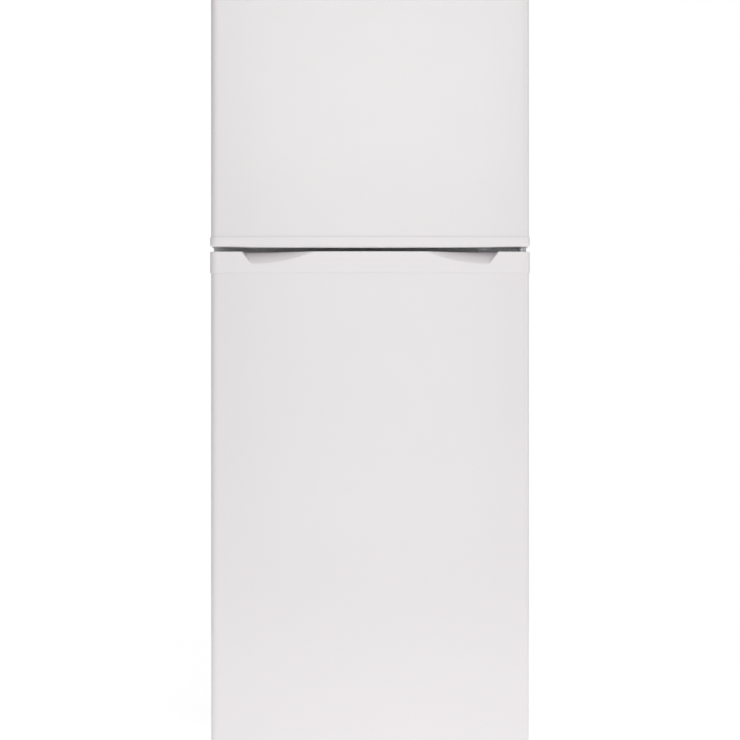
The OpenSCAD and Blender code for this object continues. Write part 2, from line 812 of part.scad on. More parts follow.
hose_r = 7;
hose_top = machine_top + 30;
drain_x = -foot_x + 112;
drain_y = case_back_y - 100;
pan_h = 52;
module drain_pan() {
    w = 96;
    d = 70;
    z0 = plate_z0 + plate_t;
    color(rubber_black) difference() {
        translate([0, 0, z0]) linear_extrude(pan_h)
            polygon(round_rect(drain_x - w, drain_y - d, drain_x + w - 50, drain_y + d, 12));
        translate([0, 0, z0 + tub_t]) linear_extrude(pan_h)
            polygon(round_rect(drain_x - w + tub_t, drain_y - d + tub_t,
                drain_x + w - 50 - tub_t, drain_y + d - tub_t, 12 - tub_t));
    }
}

module drain_hose() {
    color(rubber_black) difference() {
        rod_z(drain_x, drain_y, plate_z0 + plate_t + 20, hose_top, hose_r);
        rod_z(drain_x, drain_y, plate_z0, hose_top + e, hose_r - 2);
    }
}

gland_x = -foot_x + 62;
module cord_gland() {
    z = plate_z0 + 18 + 11;
    color(rubber_black) difference() {
        union() {
            box(gland_x - 14, case_back_y - 14, plate_z0 + 18, gland_x + 14, case_back_y - 2, plate_z0 + 42);
            rod_y(gland_x, case_back_y - 18, case_back_y + 6, z, 8);
        }
        rod_y(gland_x, case_back_y - 20, case_back_y + 8, z, 4);
    }
}

// ================= Freezer fittings =================
cover_gap = 66;
cover_t = 3;
cover_y = cavity_back_y - cover_gap;
fan_z = freezer_ceiling - 92;
fan_r = 52;

module evaporator_cover() {
    color(liner_white) difference() {
        along_y(cover_y, cover_y + cover_t)
            polygon(round_rect(-freezer_x, freezer_floor, freezer_x, freezer_ceiling, liner_r));
        // outlet louvres in front of the fan
        for (i = [-3:3]) let (half = sqrt(pow(fan_r, 2) - pow(i * 13, 2)))
            box(-half, cover_y - e, fan_z + i * 13 - 3, half, cover_y + cover_t + e, fan_z + i * 13 + 3);
        // return air slots at the foot
        for (x = [-180:24:180])
            box(x - 8, cover_y - e, freezer_floor + 14, x + 8, cover_y + cover_t + e, freezer_floor + 22);
        rod_y(knob_x, cover_y - e, cover_y + cover_t + e, knob_z, knob_stem_r + run_clearance);
    }
}

fan_hub_r = 14;
shaft_r = 2.5;
module fan_blade() {
    color(rubber_black) difference() {
        union() {
            rod_y(0, cover_y + 8, cover_y + 24, fan_z, fan_hub_r);
            for (a = [0:72:359])
                translate([0, cover_y + 16, fan_z]) rotate([0, a, 0]) rotate([0, 0, 28])
                    translate([-1, -6, fan_hub_r - 2]) cube([2, 12, fan_r - 10 - fan_hub_r]);
        }
        rod_y(0, cover_y + 12, cover_y + 25, fan_z, shaft_r + run_clearance);
    }
}

module fan_motor() {
    color(zinc_grey) {
        rod_y(0, cover_y + 26, cover_y + 50, fan_z, 22);
        rod_y(0, cover_y + 13, cover_y + 27, fan_z, shaft_r);
        box(-fan_r - 18, cover_y + 30, fan_z - 8, fan_r + 18, cover_y + 34, fan_z + 8);
        both_sides() box(fan_r + 12, cover_y + cover_t, fan_z - 8, fan_r + 18, cover_y + 34, fan_z + 8);
    }
}

evaporator_h = 180;
module evaporator() {
    fin_n = 30;
    half = freezer_x - 30;
    y0 = cover_y + 10;
    y1 = cavity_back_y - 8;
    z0 = freezer_floor + 40;
    z1 = min(z0 + evaporator_h, fan_z - fan_r - 10);
    color(steel_grey) {
        for (i = [1:fin_n - 2]) let (x = -half + 2 * half * i / (fin_n - 1))
            box(x - 0.4, y0, z0, x + 0.4, y1, z1);
        // end plates that carry it on the back wall
        both_sides() box(half - 0.8, y0, z0 - 6, half + 0.8, cavity_back_y, z1 + 6);
        for (z = [z0 + 24:44:z1]) for (y = [y0 + 14, y1 - 14]) rod_x(-half - 8, half + 8, y, z, 4);
    }
}

knob_x = 150;
knob_z = freezer_shelf_z + 40;
knob_r = 17;
knob_stem_r = 5;
module freezer_airflow_knob() {
    color(plastic_white) {
        rod_y(knob_x, cover_y - 12, cover_y - 0.5, knob_z, knob_r);
        rod_y(knob_x, cover_y - 12, cover_y + 8, knob_z, knob_stem_r);
        box(knob_x - 2.5, cover_y - 18, knob_z - knob_r + 2, knob_x + 2.5, cover_y - 11, knob_z + knob_r - 2);
    }
}

freezer_shelf_front_y = case_front_y + freezer_bin_reach + 14;
module freezer_shelf() {
    rail = 5;
    rod_r = 1.3;
    weld = 0.4; // depth that the rods are sunk into the rails
    n = 25;
    half = freezer_x - 6;
    z = freezer_shelf_z + rail;
    y0 = freezer_shelf_front_y;
    y1 = cover_y - 8;
    color(plastic_white) {
        for (y = [y0 + 12, (y0 + y1) / 2, y1 - 12])
            box(-half, y - rail / 2, freezer_shelf_z, half, y + rail / 2, z);
        for (i = [0:n - 1]) let (x = -half + 8 + (2 * half - 16) * i / (n - 1))
            rod_y(x, y0, y1, z + rod_r - weld, rod_r);
        box(-half, y0, z + rod_r, half, y0 + rod_r * 2, z + 3.5 * rod_r);
    }
}

// ================= Fresh food fittings =================
housing_x = 150;
housing_h = 50;
housing_y0 = case_front_y + 48;
housing_y1 = case_front_y + 300;
switch_x = 108;
switch_z = fridge_ceiling - 26;
switch_y0 = case_front_y + 32;
plunger_r = 4;

module control_housing() {
    z0 = fridge_ceiling - housing_h;
    lens_y = [housing_y0 + 110, housing_y1 - 30];
    color(plastic_white) difference() {
        union() {
            along_y(housing_y0, housing_y1)
                polygon(round_rect(-housing_x, z0, housing_x, fridge_ceiling, 8));
            box(switch_x - 9, switch_y0, switch_z - 9, switch_x + 9, housing_y0 + e, switch_z + 9);
        }
        // hollow body, open below over the lamp
        along_y(housing_y0 + 3, housing_y1 - 3)
            polygon(round_rect(-housing_x + 3, z0 + 3, housing_x - 3, fridge_ceiling - 3, 5));
        box(-60, lens_y[0], z0 - e, 60, lens_y[1], z0 + 3 + e);
        rod_y(dial_x, housing_y0 - e, housing_y0 + 4, dial_z, dial_stem_r + run_clearance);
        rod_y(switch_x, switch_y0 - e, housing_y0 + 4, switch_z, plunger_r + run_clearance);
    }
}

module lamp_cover() {
    z0 = fridge_ceiling - housing_h;
    gap = 0.4;
    color(clear_plastic) difference() {
        box(-60 + gap, housing_y0 + 110 + gap, z0 - 4, 60 - gap, housing_y1 - 30 - gap, z0 + 3);
        box(-57 + gap, housing_y0 + 113 + gap, z0 - 1.5, 57 - gap, housing_y1 - 33 - gap, z0 + 3 + e);
    }
}

dial_x = -40;
dial_z = fridge_ceiling - housing_h / 2;
dial_r = 18;
dial_stem_r = 6;
module temperature_dial() {
    color(zinc_grey) {
        rod_y(dial_x, housing_y0 - 13, housing_y0 - 0.5, dial_z, dial_r);
        rod_y(dial_x, housing_y0 - 13, housing_y0 + 12, dial_z, dial_stem_r);
        box(dial_x - 2, housing_y0 - 17, dial_z - dial_r + 3,
            dial_x + 2, housing_y0 - 12, dial_z + dial_r - 3);
    }
}

plunger_out = 0.5;
module light_switch_plunger() {
    tip = door_back_y + ridge_depth + plunger_out;
    color(plastic_white) rod_y(switch_x, tip, housing_y0 + 2, switch_z, plunger_r);
}

shelf_side = 3;
module shelf_glass() {
    color(clear_plastic)
        for (z = shelf_levels)
            box(-fridge_x + shelf_side, shelf_front_y + 3, z,
                fridge_x - shelf_side, shelf_back_y - 3, z + glass_t);
}

module shelf_trims() {
    lip = 3;
    color(plastic_white)
        for (z = shelf_levels) {
            // front edge trim, wrapped over the glass
            difference() {
                box(-fridge_x + shelf_side, shelf_front_y, z - lip,
                    fridge_x - shelf_side, shelf_front_y + 16, z + glass_t + 2);
                box(-fridge_x + shelf_side - e, shelf_front_y + 3, z,
                    fridge_x - shelf_side + e, shelf_front_y + 17, z + glass_t);
                both_sides() box(fridge_x - ledge_reach - 1, shelf_front_y + 5, z - lip - e, fridge_x + e,
                    shelf_front_y + 17, z);
            }
            // back edge trim with an upstand
            difference() {
                box(-fridge_x + shelf_side, shelf_back_y - 12, z - lip,
                    fridge_x - shelf_side, shelf_back_y, z + glass_t + 9);
                box(-fridge_x + shelf_side - e, shelf_back_y - 13, z,
                    fridge_x - shelf_side + e, shelf_back_y - 3, z + glass_t);
                both_sides() box(fridge_x - ledge_reach - 1, shelf_back_y - 13, z - lip - e, fridge_x + e,
                    shelf_back_y + e, z);
                box(-fridge_x, shelf_back_y - 13, z + glass_t + 2, fridge_x, shelf_back_y - 3, z + 30);
            }
        }
}

drawer_gap = 3;
drawer_z = fridge_floor + 4;
drawer_x0 = drawer_gap / 2;
drawer_x1 = fridge_x - ledge_reach - 3;
drawer_y0 = shelf_front_y + 2;
drawer_y1 = hump_y - 6;
module drawer() {
    rim = 5;
    top = drawer_z + drawer_h;
    color(clear_plastic) difference() {
        union() {
            translate([0, 0, drawer_z + 0.3]) linear_extrude(drawer_h - 0.3)
                polygon(round_rect(drawer_x0 + rim, drawer_y0 + 3, drawer_x1 - rim, drawer_y1 - rim, 14));
            translate([0, 0, top - 3]) linear_extrude(3)
                polygon(round_rect(drawer_x0, drawer_y0 + 3, drawer_x1, drawer_y1, 16));
            // front panel with a pull along its foot
            box(drawer_x0, drawer_y0, drawer_z + 0.3, drawer_x1, drawer_y0 + 4, top);
            box(drawer_x0 + 40, drawer_y0 - 11, top - 34, drawer_x1 - 40, drawer_y0 + e, top - 31);
            box(drawer_x0 + 40, drawer_y0 - 11, top - 44, drawer_x1 - 40, drawer_y0 - 8, top - 31);
        }
        translate([0, 0, drawer_z + tub_t]) linear_extrude(drawer_h)
            polygon(round_rect(drawer_x0 + rim + tub_t, drawer_y0 + 3 + tub_t, drawer_x1 - rim - tub_t,
                drawer_y1 - rim - tub_t, 12));
    }
}

module right_crisper() { drawer(); }
module left_crisper() { mirror([1, 0, 0]) drawer(); }

// ================= Doors =================
skin_return = 14;
ridge_slack = 8;
fridge_ridge_z = [fridge_floor + ridge_slack, fridge_ceiling - ridge_slack];
freezer_ridge_z = [freezer_floor + ridge_slack, freezer_ceiling - ridge_slack];
cap_wall = 3;
pocket_x = hinge_x - 94;
pocket_y0 = door_back_y - 22;

module door_prism(g, back, z0, z1) {
    translate([0, 0, z0]) linear_extrude(z1 - z0) polygon(door_outline(g, back));
}

module door_skin(z0, z1) {
    w = door_x - skin_return;
    color(paint_white) difference() {
        door_prism(0, door_back_y, z0, z1);
        door_prism(-skin_t, door_back_y - skin_t, z0 - e, z1 + e);
        box(-w, door_back_y - 2 * skin_t, z0 - e, w, door_back_y + e, z1 + e);
    }
}

// The hollow ridge on a door's inner face, drawn s inside its outer surface.
module ridge(x, z, s, y0) {
    along_y(y0, door_back_y + ridge_depth - s) difference() {
        polygon(round_rect(-x + s, z[0] + s, x - s, z[1] - s, 12 - s));
        polygon(round_rect(-x + ridge_w - s, z[0] + ridge_w - s, x - ridge_w + s, z[1] - ridge_w + s, 6 + s));
    }
}

module door_liner(x, z, z0, z1, rests) {
    w = door_x - skin_return;
    color(liner_white) {
        difference() {
            union() {
                box(-w, door_back_y - liner_t, z0, w, door_back_y, z1);
                ridge(x, z, 0, door_back_y - liner_t);
            }
            ridge(x, z, liner_t, door_back_y - 2 * liner_t);
        }
        // lugs that the bins rest on
        for (r = rests) both_sides()
            box(x - ridge_w - 10, door_back_y - liner_t / 2, r - 8,
                x - ridge_w + liner_t / 2, door_back_y + ridge_depth - 4, r);
    }
}

// Foam of a door whose core is z0 to z1; it also fills the hollow backs of both end caps.
module door_foam(x, z, z0, z1, low, high) {
    w = door_x - skin_return;
    color(foam_cream) {
        difference() {
            door_prism(-skin_t, door_back_y - skin_t, z0, z1);
            box(-w, door_back_y - liner_t, z0 - e, w, door_back_y + e, z1 + e);
        }
        ridge(x, z, liner_t, door_back_y - liner_t - 0.5);
        box(-pocket_x, pocket_y0, low, pocket_x, door_back_y - cap_wall, z0 + e);
        box(-pocket_x, pocket_y0, z1 - e, pocket_x, door_back_y - cap_wall, high);
    }
}

// An end cap between z0 and z1, hollow behind where the foam goes in.
module door_cap(z0, z1, hollow) {
    difference() {
        door_prism(cap_proud, door_back_y, z0, z1);
        box(-pocket_x, pocket_y0, hollow[0], pocket_x, door_back_y - cap_wall, hollow[1]);
    }
}

pin_hole_r = pin_r + run_clearance;
hole_len = pin_grip + 1;

module door_seal(z0, z1) {
    w = door_x - seal_inset;
    color(seal_grey) along_y(door_back_y, case_front_y - seal_clearance) difference() {
        polygon(round_rect(-w, z0 + seal_inset, w, z1 - seal_inset, 4));
        polygon(round_rect(-w + seal_w, z0 + seal_inset + seal_w, w - seal_w, z1 - seal_inset - seal_w, 2));
    }
}

// A door bin: an open tray between the ridges, with its floor at z and a wall of height h.
bin_r = 8;
low_back = 26; // how much lower the bins are towards the door
module bin(x, reach, z, h) {
    w = x - ridge_w - 0.6;
    y0 = door_back_y + 1;
    y1 = case_front_y + reach;
    difference() {
        translate([0, 0, z]) linear_extrude(h) polygon(round_rect(-w, y0, w, y1, bin_r));
        translate([0, 0, z + tub_t]) linear_extrude(h)
            polygon(round_rect(-w + tub_t, y0 + tub_t, w - tub_t, y1 - tub_t, bin_r - tub_t));
        box(-w + bin_r, y0 - e, z + h - low_back, w - bin_r, y0 + tub_t + e, z + h + e);
    }
}

bin_lift = 16;
bottle_bin_z = fridge_ridge_z[0] + ridge_w + bin_lift;
fridge_bin_z0 = bottle_bin_z + bottle_space;
fridge_bin_n = floor((fridge_ridge_z[1] - ridge_w - small_bin_h - fridge_bin_z0) / bin_pitch);
fridge_bin_z = [for (i = [0:1:fridge_bin_n]) fridge_bin_z0 + i * bin_pitch];
freezer_bin_z0 = freezer_ridge_z[0] + ridge_w + bin_lift;
freezer_bin_n = floor((freezer_ridge_z[1] - ridge_w - freezer_bin_h - freezer_bin_z0) / freezer_bin_pitch);
freezer_bin_z = [for (i = [0:1:freezer_bin_n]) freezer_bin_z0 + i * freezer_bin_pitch];

// --- fridge door ---
fridge_core = [fridge_bottom + plain_cap_h, fridge_top - grip_cap_h];
fridge_hollow = [fridge_bottom + cap_wall, fridge_top - grip_h - cap_wall];

module fridge_door_skin() { door_skin(fridge_core[0], fridge_core[1]); }

// The volume that one finger grip takes out of the cap: its floor slopes back and up from the front face.
module grip_cut() {
    front = door_apex_y - cap_proud - 4;
    outer = door_x - grip_end;
    hull() {
        for (p = [
            [outer, front, fridge_top + e], [outer - 17, front, fridge_top - grip_h],
            [grip_inner, front, fridge_top - 5], [grip_inner, front, fridge_top + e],
            [outer - 3, door_apex_y + grip_depth, fridge_top + e],
            [outer - 6, door_apex_y + grip_depth, fridge_top - 4],
            [grip_inner + 22, door_apex_y + grip_depth * 0.45, fridge_top + e]
        ]) translate(p) cube(0.02, center = true);
    }
}

module fridge_door_top_cap() {
    color(plastic_white) difference() {
        door_cap(fridge_core[1], fridge_top, [fridge_core[1] - e, fridge_hollow[1]]);
        both_sides() {
            grip_cut();
            rod_z(hinge_x, hinge_y, fridge_top - hole_len, fridge_top + e, pin_hole_r);
        }
    }
}

module fridge_door_bottom_cap() {
    color(plastic_white) difference() {
        door_cap(fridge_bottom, fridge_core[0], [fridge_hollow[0], fridge_core[0] + e]);
        both_sides() rod_z(hinge_x, hinge_y, fridge_bottom - e, fridge_bottom + hole_len, pin_hole_r);
    }
}

module fridge_door_foam() {
    door_foam(fridge_ridge_x, fridge_ridge_z,
        fridge_core[0], fridge_core[1], fridge_hollow[0], fridge_hollow[1]);
}

module fridge_door_liner() {
    door_liner(fridge_ridge_x, fridge_ridge_z,
        fridge_core[0], fridge_core[1], concat([bottle_bin_z], fridge_bin_z));
}

module fridge_door_seal() { door_seal(fridge_bottom, fridge_top); }

module fridge_door_bottle_bin() {
    color(clear_plastic) bin(fridge_ridge_x, bin_reach, bottle_bin_z, bottle_bin_h);
}

module fridge_door_bins() {
    color(clear_plastic) for (z = fridge_bin_z) bin(fridge_ridge_x, bin_reach, z, small_bin_h);
}

// --- freezer door ---
freezer_core = [freezer_bottom + freezer_cap_h, freezer_top - plain_cap_h];
freezer_hollow = [freezer_bottom + cap_wall, freezer_top - cap_wall];

module freezer_door_skin() { door_skin(freezer_core[0], freezer_core[1]); }

// Front view of the lower cap: between the hinges its underside is a shallow arc,
// cap_crown lower in the middle.
function crowned_outline(half) = let (span = hinge_x - collar_r - 5) concat(
    [[-half, freezer_bottom]],
    [for (i = [0:16]) let (t = -1 + i / 8) [t * span, freezer_bottom - cap_crown * (1 - t * t)]],
    [[half, freezer_bottom]],
    [[half, freezer_core[0]], [-half, freezer_core[0]]]
);

module freezer_door_bottom_cap() {
    half = door_x + cap_proud;
    color(plastic_white) difference() {
        intersection() {
            door_prism(cap_proud, door_back_y, freezer_bottom - 2 * cap_crown - e, freezer_core[0]);
            along_y(door_apex_y - 20, door_back_y + 20) polygon(crowned_outline(half));
        }
        box(-pocket_x, pocket_y0, freezer_hollow[0],
            pocket_x, door_back_y - cap_wall, freezer_core[0] + e);
        both_sides()
            rod_z(hinge_x, hinge_y,
                freezer_bottom - 2 * cap_crown - e, freezer_bottom + hole_len, pin_hole_r);
    }
}

module freezer_door_top_cap() {
    color(plastic_white) difference() {
        door_cap(freezer_core[1], freezer_top, [freezer_core[1] - e, freezer_hollow[1]]);
        both_sides() rod_z(hinge_x, hinge_y, freezer_top - hole_len, freezer_top + e, pin_hole_r);
    }
}

module freezer_door_foam() {
    door_foam(freezer_ridge_x, freezer_ridge_z,
        freezer_core[0], freezer_core[1], freezer_hollow[0], freezer_hollow[1]);
}

module freezer_door_liner() {
    door_liner(freezer_ridge_x, freezer_ridge_z, freezer_core[0], freezer_core[1], freezer_bin_z);
}

module freezer_door_seal() { door_seal(freezer_bottom, freezer_top); }

module freezer_door_bins() {
    color(clear_plastic) for (z = freezer_bin_z) bin(freezer_ridge_x, freezer_bin_reach, z, freezer_bin_h);
}

outer_case();
back_panel();
machine_panel();
base_frame();
centre_rail();
insulation_foam();
freezer_liner();
fridge_liner();
top_hinge();
top_hinge_cover();
middle_hinge();
bottom_hinge();
hinge_screws();
hinge_hole_plugs();
roller_brackets();
roller_axles();
left_roller();
right_roller();
left_foot();
right_foot();
compressor();
compressor_plate();
compressor_grommets();
relay_cover();
refrigerant_pipes();
filter_drier();
condenser_tube();
condenser_wires();
condenser_clips();
drain_pan();
drain_hose();
cord_gland();
evaporator();
evaporator_cover();
fan_motor();
fan_blade();
freezer_airflow_knob();
control_housing();
temperature_dial();
lamp_cover();
light_switch_plunger();
freezer_shelf();
shelf_glass();
shelf_trims();
left_crisper();
right_crisper();
fridge_door_skin();
fridge_door_top_cap();
fridge_door_bottom_cap();
fridge_door_foam();
fridge_door_liner();
fridge_door_seal();
fridge_door_bottle_bin();
fridge_door_bins();
freezer_door_skin();
freezer_door_top_cap();
freezer_door_bottom_cap();
freezer_door_foam();
freezer_door_liner();
freezer_door_seal();
freezer_door_bins();
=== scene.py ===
"""Looks of a white top freezer refrigerator: doors, cabinet, fittings, machine space and finishes.

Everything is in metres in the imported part's own frame: +Z up, the doors face -Y, and the origin is on the
floor under the middle of the object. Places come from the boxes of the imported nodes; each class holds the
sizes of its own shapes.
"""

import logging
import math
import sys
from dataclasses import dataclass, field
from enum import Enum

import bmesh
import bpy
import numpy as np
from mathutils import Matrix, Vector


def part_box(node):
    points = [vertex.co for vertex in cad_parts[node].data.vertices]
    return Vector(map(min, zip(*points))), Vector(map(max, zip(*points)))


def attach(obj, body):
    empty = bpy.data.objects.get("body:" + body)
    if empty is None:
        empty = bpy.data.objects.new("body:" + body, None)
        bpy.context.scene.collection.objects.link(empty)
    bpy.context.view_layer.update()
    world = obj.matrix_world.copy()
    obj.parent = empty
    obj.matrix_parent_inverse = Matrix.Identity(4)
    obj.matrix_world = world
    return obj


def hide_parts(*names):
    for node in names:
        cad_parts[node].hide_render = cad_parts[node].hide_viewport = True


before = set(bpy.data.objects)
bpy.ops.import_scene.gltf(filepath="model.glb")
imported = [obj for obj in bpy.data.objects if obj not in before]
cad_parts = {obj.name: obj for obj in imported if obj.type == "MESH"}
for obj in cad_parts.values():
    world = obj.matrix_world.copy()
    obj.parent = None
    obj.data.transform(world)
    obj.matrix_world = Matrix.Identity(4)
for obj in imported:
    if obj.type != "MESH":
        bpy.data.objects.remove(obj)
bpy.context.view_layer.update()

log = logging.getLogger("refrigerator")
MM = 0.001
COAT_ROUGHNESS = 0.12
LEAST_ROUGHNESS = 0.02


# ---------------------------------------------------------------- finishes

class Grain(Enum):
    """The relief that a finish carries."""

    PEEL = "soft waves of sprayed and baked paint"
    PEBBLE = "leathery pebbles of the cabinet's textured paint"
    MOULDED = "faint haze of a polished mould"
    SPANGLE = "crystals of hot-dip zinc"
    BRUSHED = "drawn lines of rolled or turned metal"
    ENAMEL = "thick black enamel with dust in it"
    CELLS = "open cells of blown foam"
    DRAWN = "long faint marks of a drawn tube"


@dataclass(frozen=True)
class Finish:
    """One finish, made into a procedural material once and shared by its pieces.

    Attributes:
        name: the material's name.
        slot: the record's material slot; not used.
        colour: linear red, green and blue.
        roughness: middle roughness.
        grain: the relief it carries.
        grain_size: size of one wave, pebble or crystal, in metres.
        grain_height: height of the relief, in metres.
        spread: how far the roughness wanders from its middle.
        tint: share by which the brightness wanders.
        metallic: 1 for bare metal.
        coat: weight of a clear coat.
        transmission: 1 for clear plastic and glass.
        ior: refractive index.
        veil: opacity; below 1 the light that reaches what lies behind goes straight through.
        soil: colour that gathers in patches, or None.
        soil_share: how much of it shows.
    """

    name: str
    slot: str
    colour: tuple[float, float, float]
    roughness: float
    grain: Grain
    grain_size: float
    grain_height: float
    spread: float = 0.04
    tint: float = 0.012
    metallic: float = 0.0
    coat: float = 0.0
    transmission: float = 0.0
    ior: float = 1.46
    veil: float = 1.0
    soil: tuple[float, float, float] | None = None
    soil_share: float = 0.0

    def material(self) -> bpy.types.Material:
        """Finds the finish's material, or makes it on first use.

        Returns:
            The material.
        """
        made = bpy.data.materials.get(f"{self.name}_finish")
        return made if made else self._make()

    def _make(self) -> bpy.types.Material:
        """Builds the node tree, in which tint, roughness and relief all read Object coordinates.

        Returns:
            The material.
        """
        mat = bpy.data.materials.new(f"{self.name}_finish")
        mat.use_nodes = True
        tree = mat.node_tree
        shader = tree.nodes["Principled BSDF"]
        place = tree.nodes.new("ShaderNodeTexCoord").outputs["Object"]
        shader.inputs["Metallic"].default_value = self.metallic
        shader.inputs["Coat Weight"].default_value = self.coat
        shader.inputs["Coat Roughness"].default_value = COAT_ROUGHNESS
        shader.inputs["Transmission Weight"].default_value = self.transmission
        shader.inputs["IOR"].default_value = self.ior
        shader.inputs["Alpha"].default_value = self.veil
        wander = self._noise(tree, place, 4.0, 3.0)
        cells, height = self._relief(tree, place)
        dark = [c * (1 - self.tint) for c in self.colour]
        light = [min(c * (1 + self.tint), 1.0) for c in self.colour]
        by = cells if self.grain is Grain.SPANGLE else wander
        colour = self._mix(tree, by, dark, light)
        if self.soil:
            patch = self._noise(tree, place, 9.0, 6.0)
            share = self._range(tree, patch, 0.5, 0.75, 0.0, self.soil_share)
            colour = self._mix(tree, share, colour, self.soil)
        tree.links.new(colour, shader.inputs["Base Color"])
        rough = self._range(tree, self._noise(tree, place, 23.0, 4.0), 0.3, 0.7,
                            max(self.roughness - self.spread, LEAST_ROUGHNESS), self.roughness + self.spread)
        tree.links.new(rough, shader.inputs["Roughness"])
        bump = tree.nodes.new("ShaderNodeBump")
        bump.inputs["Strength"].default_value = 1.0
        bump.inputs["Distance"].default_value = self.grain_height
        tree.links.new(height, bump.inputs["Height"])
        tree.links.new(bump.outputs["Normal"], shader.inputs["Normal"])
        return mat

    def _relief(self, tree: bpy.types.NodeTree,
                place: bpy.types.NodeSocket) -> tuple[bpy.types.NodeSocket, bpy.types.NodeSocket]:
        """Makes the relief's nodes.

        Args:
            tree: the material's tree.
            place: socket of Object coordinates.

        Returns:
            A socket that differs from cell to cell, and the height's socket.
        """
        scale = 1.0 / self.grain_size
        if self.grain in (Grain.SPANGLE, Grain.PEBBLE, Grain.CELLS):
            cell = tree.nodes.new("ShaderNodeTexVoronoi")
            cell.feature = "SMOOTH_F1" if self.grain is Grain.PEBBLE else "F1"
            cell.inputs["Scale"].default_value = scale
            cell.inputs["Randomness"].default_value = 1.0
            tree.links.new(place, cell.inputs["Vector"])
            split = tree.nodes.new("ShaderNodeSeparateColor")
            tree.links.new(cell.outputs["Color"], split.inputs["Color"])
            return split.outputs[0], cell.outputs["Distance"]
        if self.grain in (Grain.BRUSHED, Grain.DRAWN):
            turn = tree.nodes.new("ShaderNodeMapping")
            drawn = self.grain is Grain.DRAWN
            turn.inputs["Scale"].default_value = (1.0, 1.0, 0.04) if drawn else (0.04, 1.0, 1.0)
            tree.links.new(place, turn.inputs["Vector"])
            line = self._noise(tree, turn.outputs["Vector"], scale, 3.0)
            return line, line
        detail = 5.0 if self.grain is Grain.ENAMEL else 2.0
        wave = self._noise(tree, place, scale, detail)
        return wave, wave

    @staticmethod
    def _noise(tree: bpy.types.NodeTree, place: bpy.types.NodeSocket, scale: float,
               detail: float) -> bpy.types.NodeSocket:
        """Adds a noise.

        Args:
            tree: the material's tree.
            place: socket of the coordinates that it reads.
            scale: waves in a metre.
            detail: octaves of finer waves.

        Returns:
            The socket of its value.
        """
        node = tree.nodes.new("ShaderNodeTexNoise")
        node.inputs["Scale"].default_value = scale
        node.inputs["Detail"].default_value = detail
        tree.links.new(place, node.inputs["Vector"])
        return node.outputs["Fac"]

    @staticmethod
    def _range(tree: bpy.types.NodeTree, value: bpy.types.NodeSocket, low: float, high: float,
               out_low: float, out_high: float) -> bpy.types.NodeSocket:
        """Maps a value from one span to another, held at its ends.

        Args:
            tree: the material's tree.
            value: the socket to map.
            low: value that gives out_low.
            high: value that gives out_high.
            out_low: result at low.
            out_high: result at high.

        Returns:
            The result's socket.
        """
        node = tree.nodes.new("ShaderNodeMapRange")
        for name, number in (("From Min", low), ("From Max", high), ("To Min", out_low), ("To Max", out_high)):
            node.inputs[name].default_value = number
        tree.links.new(value, node.inputs["Value"])
        return node.outputs["Result"]

    @staticmethod
    def _mix(tree: bpy.types.NodeTree, share: bpy.types.NodeSocket,
             first: bpy.types.NodeSocket | list | tuple,
             second: bpy.types.NodeSocket | list | tuple) -> bpy.types.NodeSocket:
        """Mixes two colours.

        Args:
            tree: the material's tree.
            share: socket of the second colour's share.
            first: colour or socket at share 0.
            second: colour or socket at share 1.

        Returns:
            The mixed colour's socket.
        """
        node = tree.nodes.new("ShaderNodeMix")
        node.data_type = "RGBA"
        tree.links.new(share, node.inputs[0])
        for socket, colour in ((node.inputs[6], first), (node.inputs[7], second)):
            if isinstance(colour, bpy.types.NodeSocket):
                tree.links.new(colour, socket)
            else:
                socket.default_value = (*colour, 1.0)
        return node.outputs[2]


DOOR_PAINT = Finish("door_paint", "white_paint", (0.812, 0.782, 0.79), 0.34, Grain.PEEL, 0.0035, 0.00004,
                    spread=0.03, tint=0.006, coat=0.25)
CABINET_PAINT = Finish("cabinet_paint", "cabinet_paint", (0.78, 0.78, 0.785), 0.46, Grain.PEBBLE, 0.0016,
                       0.00022, spread=0.05, tint=0.01)
CAP_PLASTIC = Finish("cap_plastic", "cap_plastic", (0.825, 0.794, 0.803), 0.35, Grain.MOULDED, 0.007, 0.00003,
                     spread=0.04, tint=0.006)
LINER_PLASTIC = Finish("liner_plastic", "liner_plastic", (0.82, 0.83, 0.84), 0.21, Grain.PEEL, 0.012, 0.00006,
                       spread=0.04, tint=0.008, coat=0.2)
WHITE_PLASTIC = Finish("white_plastic", "white_plastic", (0.80, 0.80, 0.80), 0.36, Grain.MOULDED, 0.005,
                       0.00003)
GREY_PLASTIC = Finish("grey_plastic", "grey_plastic", (0.30, 0.31, 0.33), 0.42, Grain.MOULDED, 0.0008, 0.00003)
BLACK_PLASTIC = Finish("black_plastic", "black_plastic", (0.022, 0.022, 0.024), 0.48, Grain.MOULDED, 0.0008,
                       0.00004, soil=(0.10, 0.095, 0.09), soil_share=0.25)
BLACK_RUBBER = Finish("black_rubber", "black_rubber", (0.018, 0.018, 0.018), 0.72, Grain.MOULDED, 0.0006,
                      0.00005, spread=0.08, soil=(0.09, 0.085, 0.08), soil_share=0.35)
BLACK_PAINT = Finish("black_enamel", "black_paint", (0.016, 0.016, 0.018), 0.38, Grain.ENAMEL, 0.004, 0.00012,
                     spread=0.08, soil=(0.085, 0.08, 0.075), soil_share=0.3)
SEAL_RUBBER = Finish("seal_rubber", "seal_rubber", (0.60, 0.61, 0.62), 0.55, Grain.MOULDED, 0.004, 0.00004,
                     spread=0.07, tint=0.02)
ZINC = Finish("zinc_steel", "zinc_steel", (0.50, 0.51, 0.53), 0.40, Grain.SPANGLE, 0.011, 0.00001,
              spread=0.08, tint=0.16, metallic=1.0)
STEEL = Finish("screw_steel", "steel", (0.52, 0.52, 0.53), 0.37, Grain.BRUSHED, 0.0008, 0.00003,
               spread=0.08, tint=0.05, metallic=1.0)
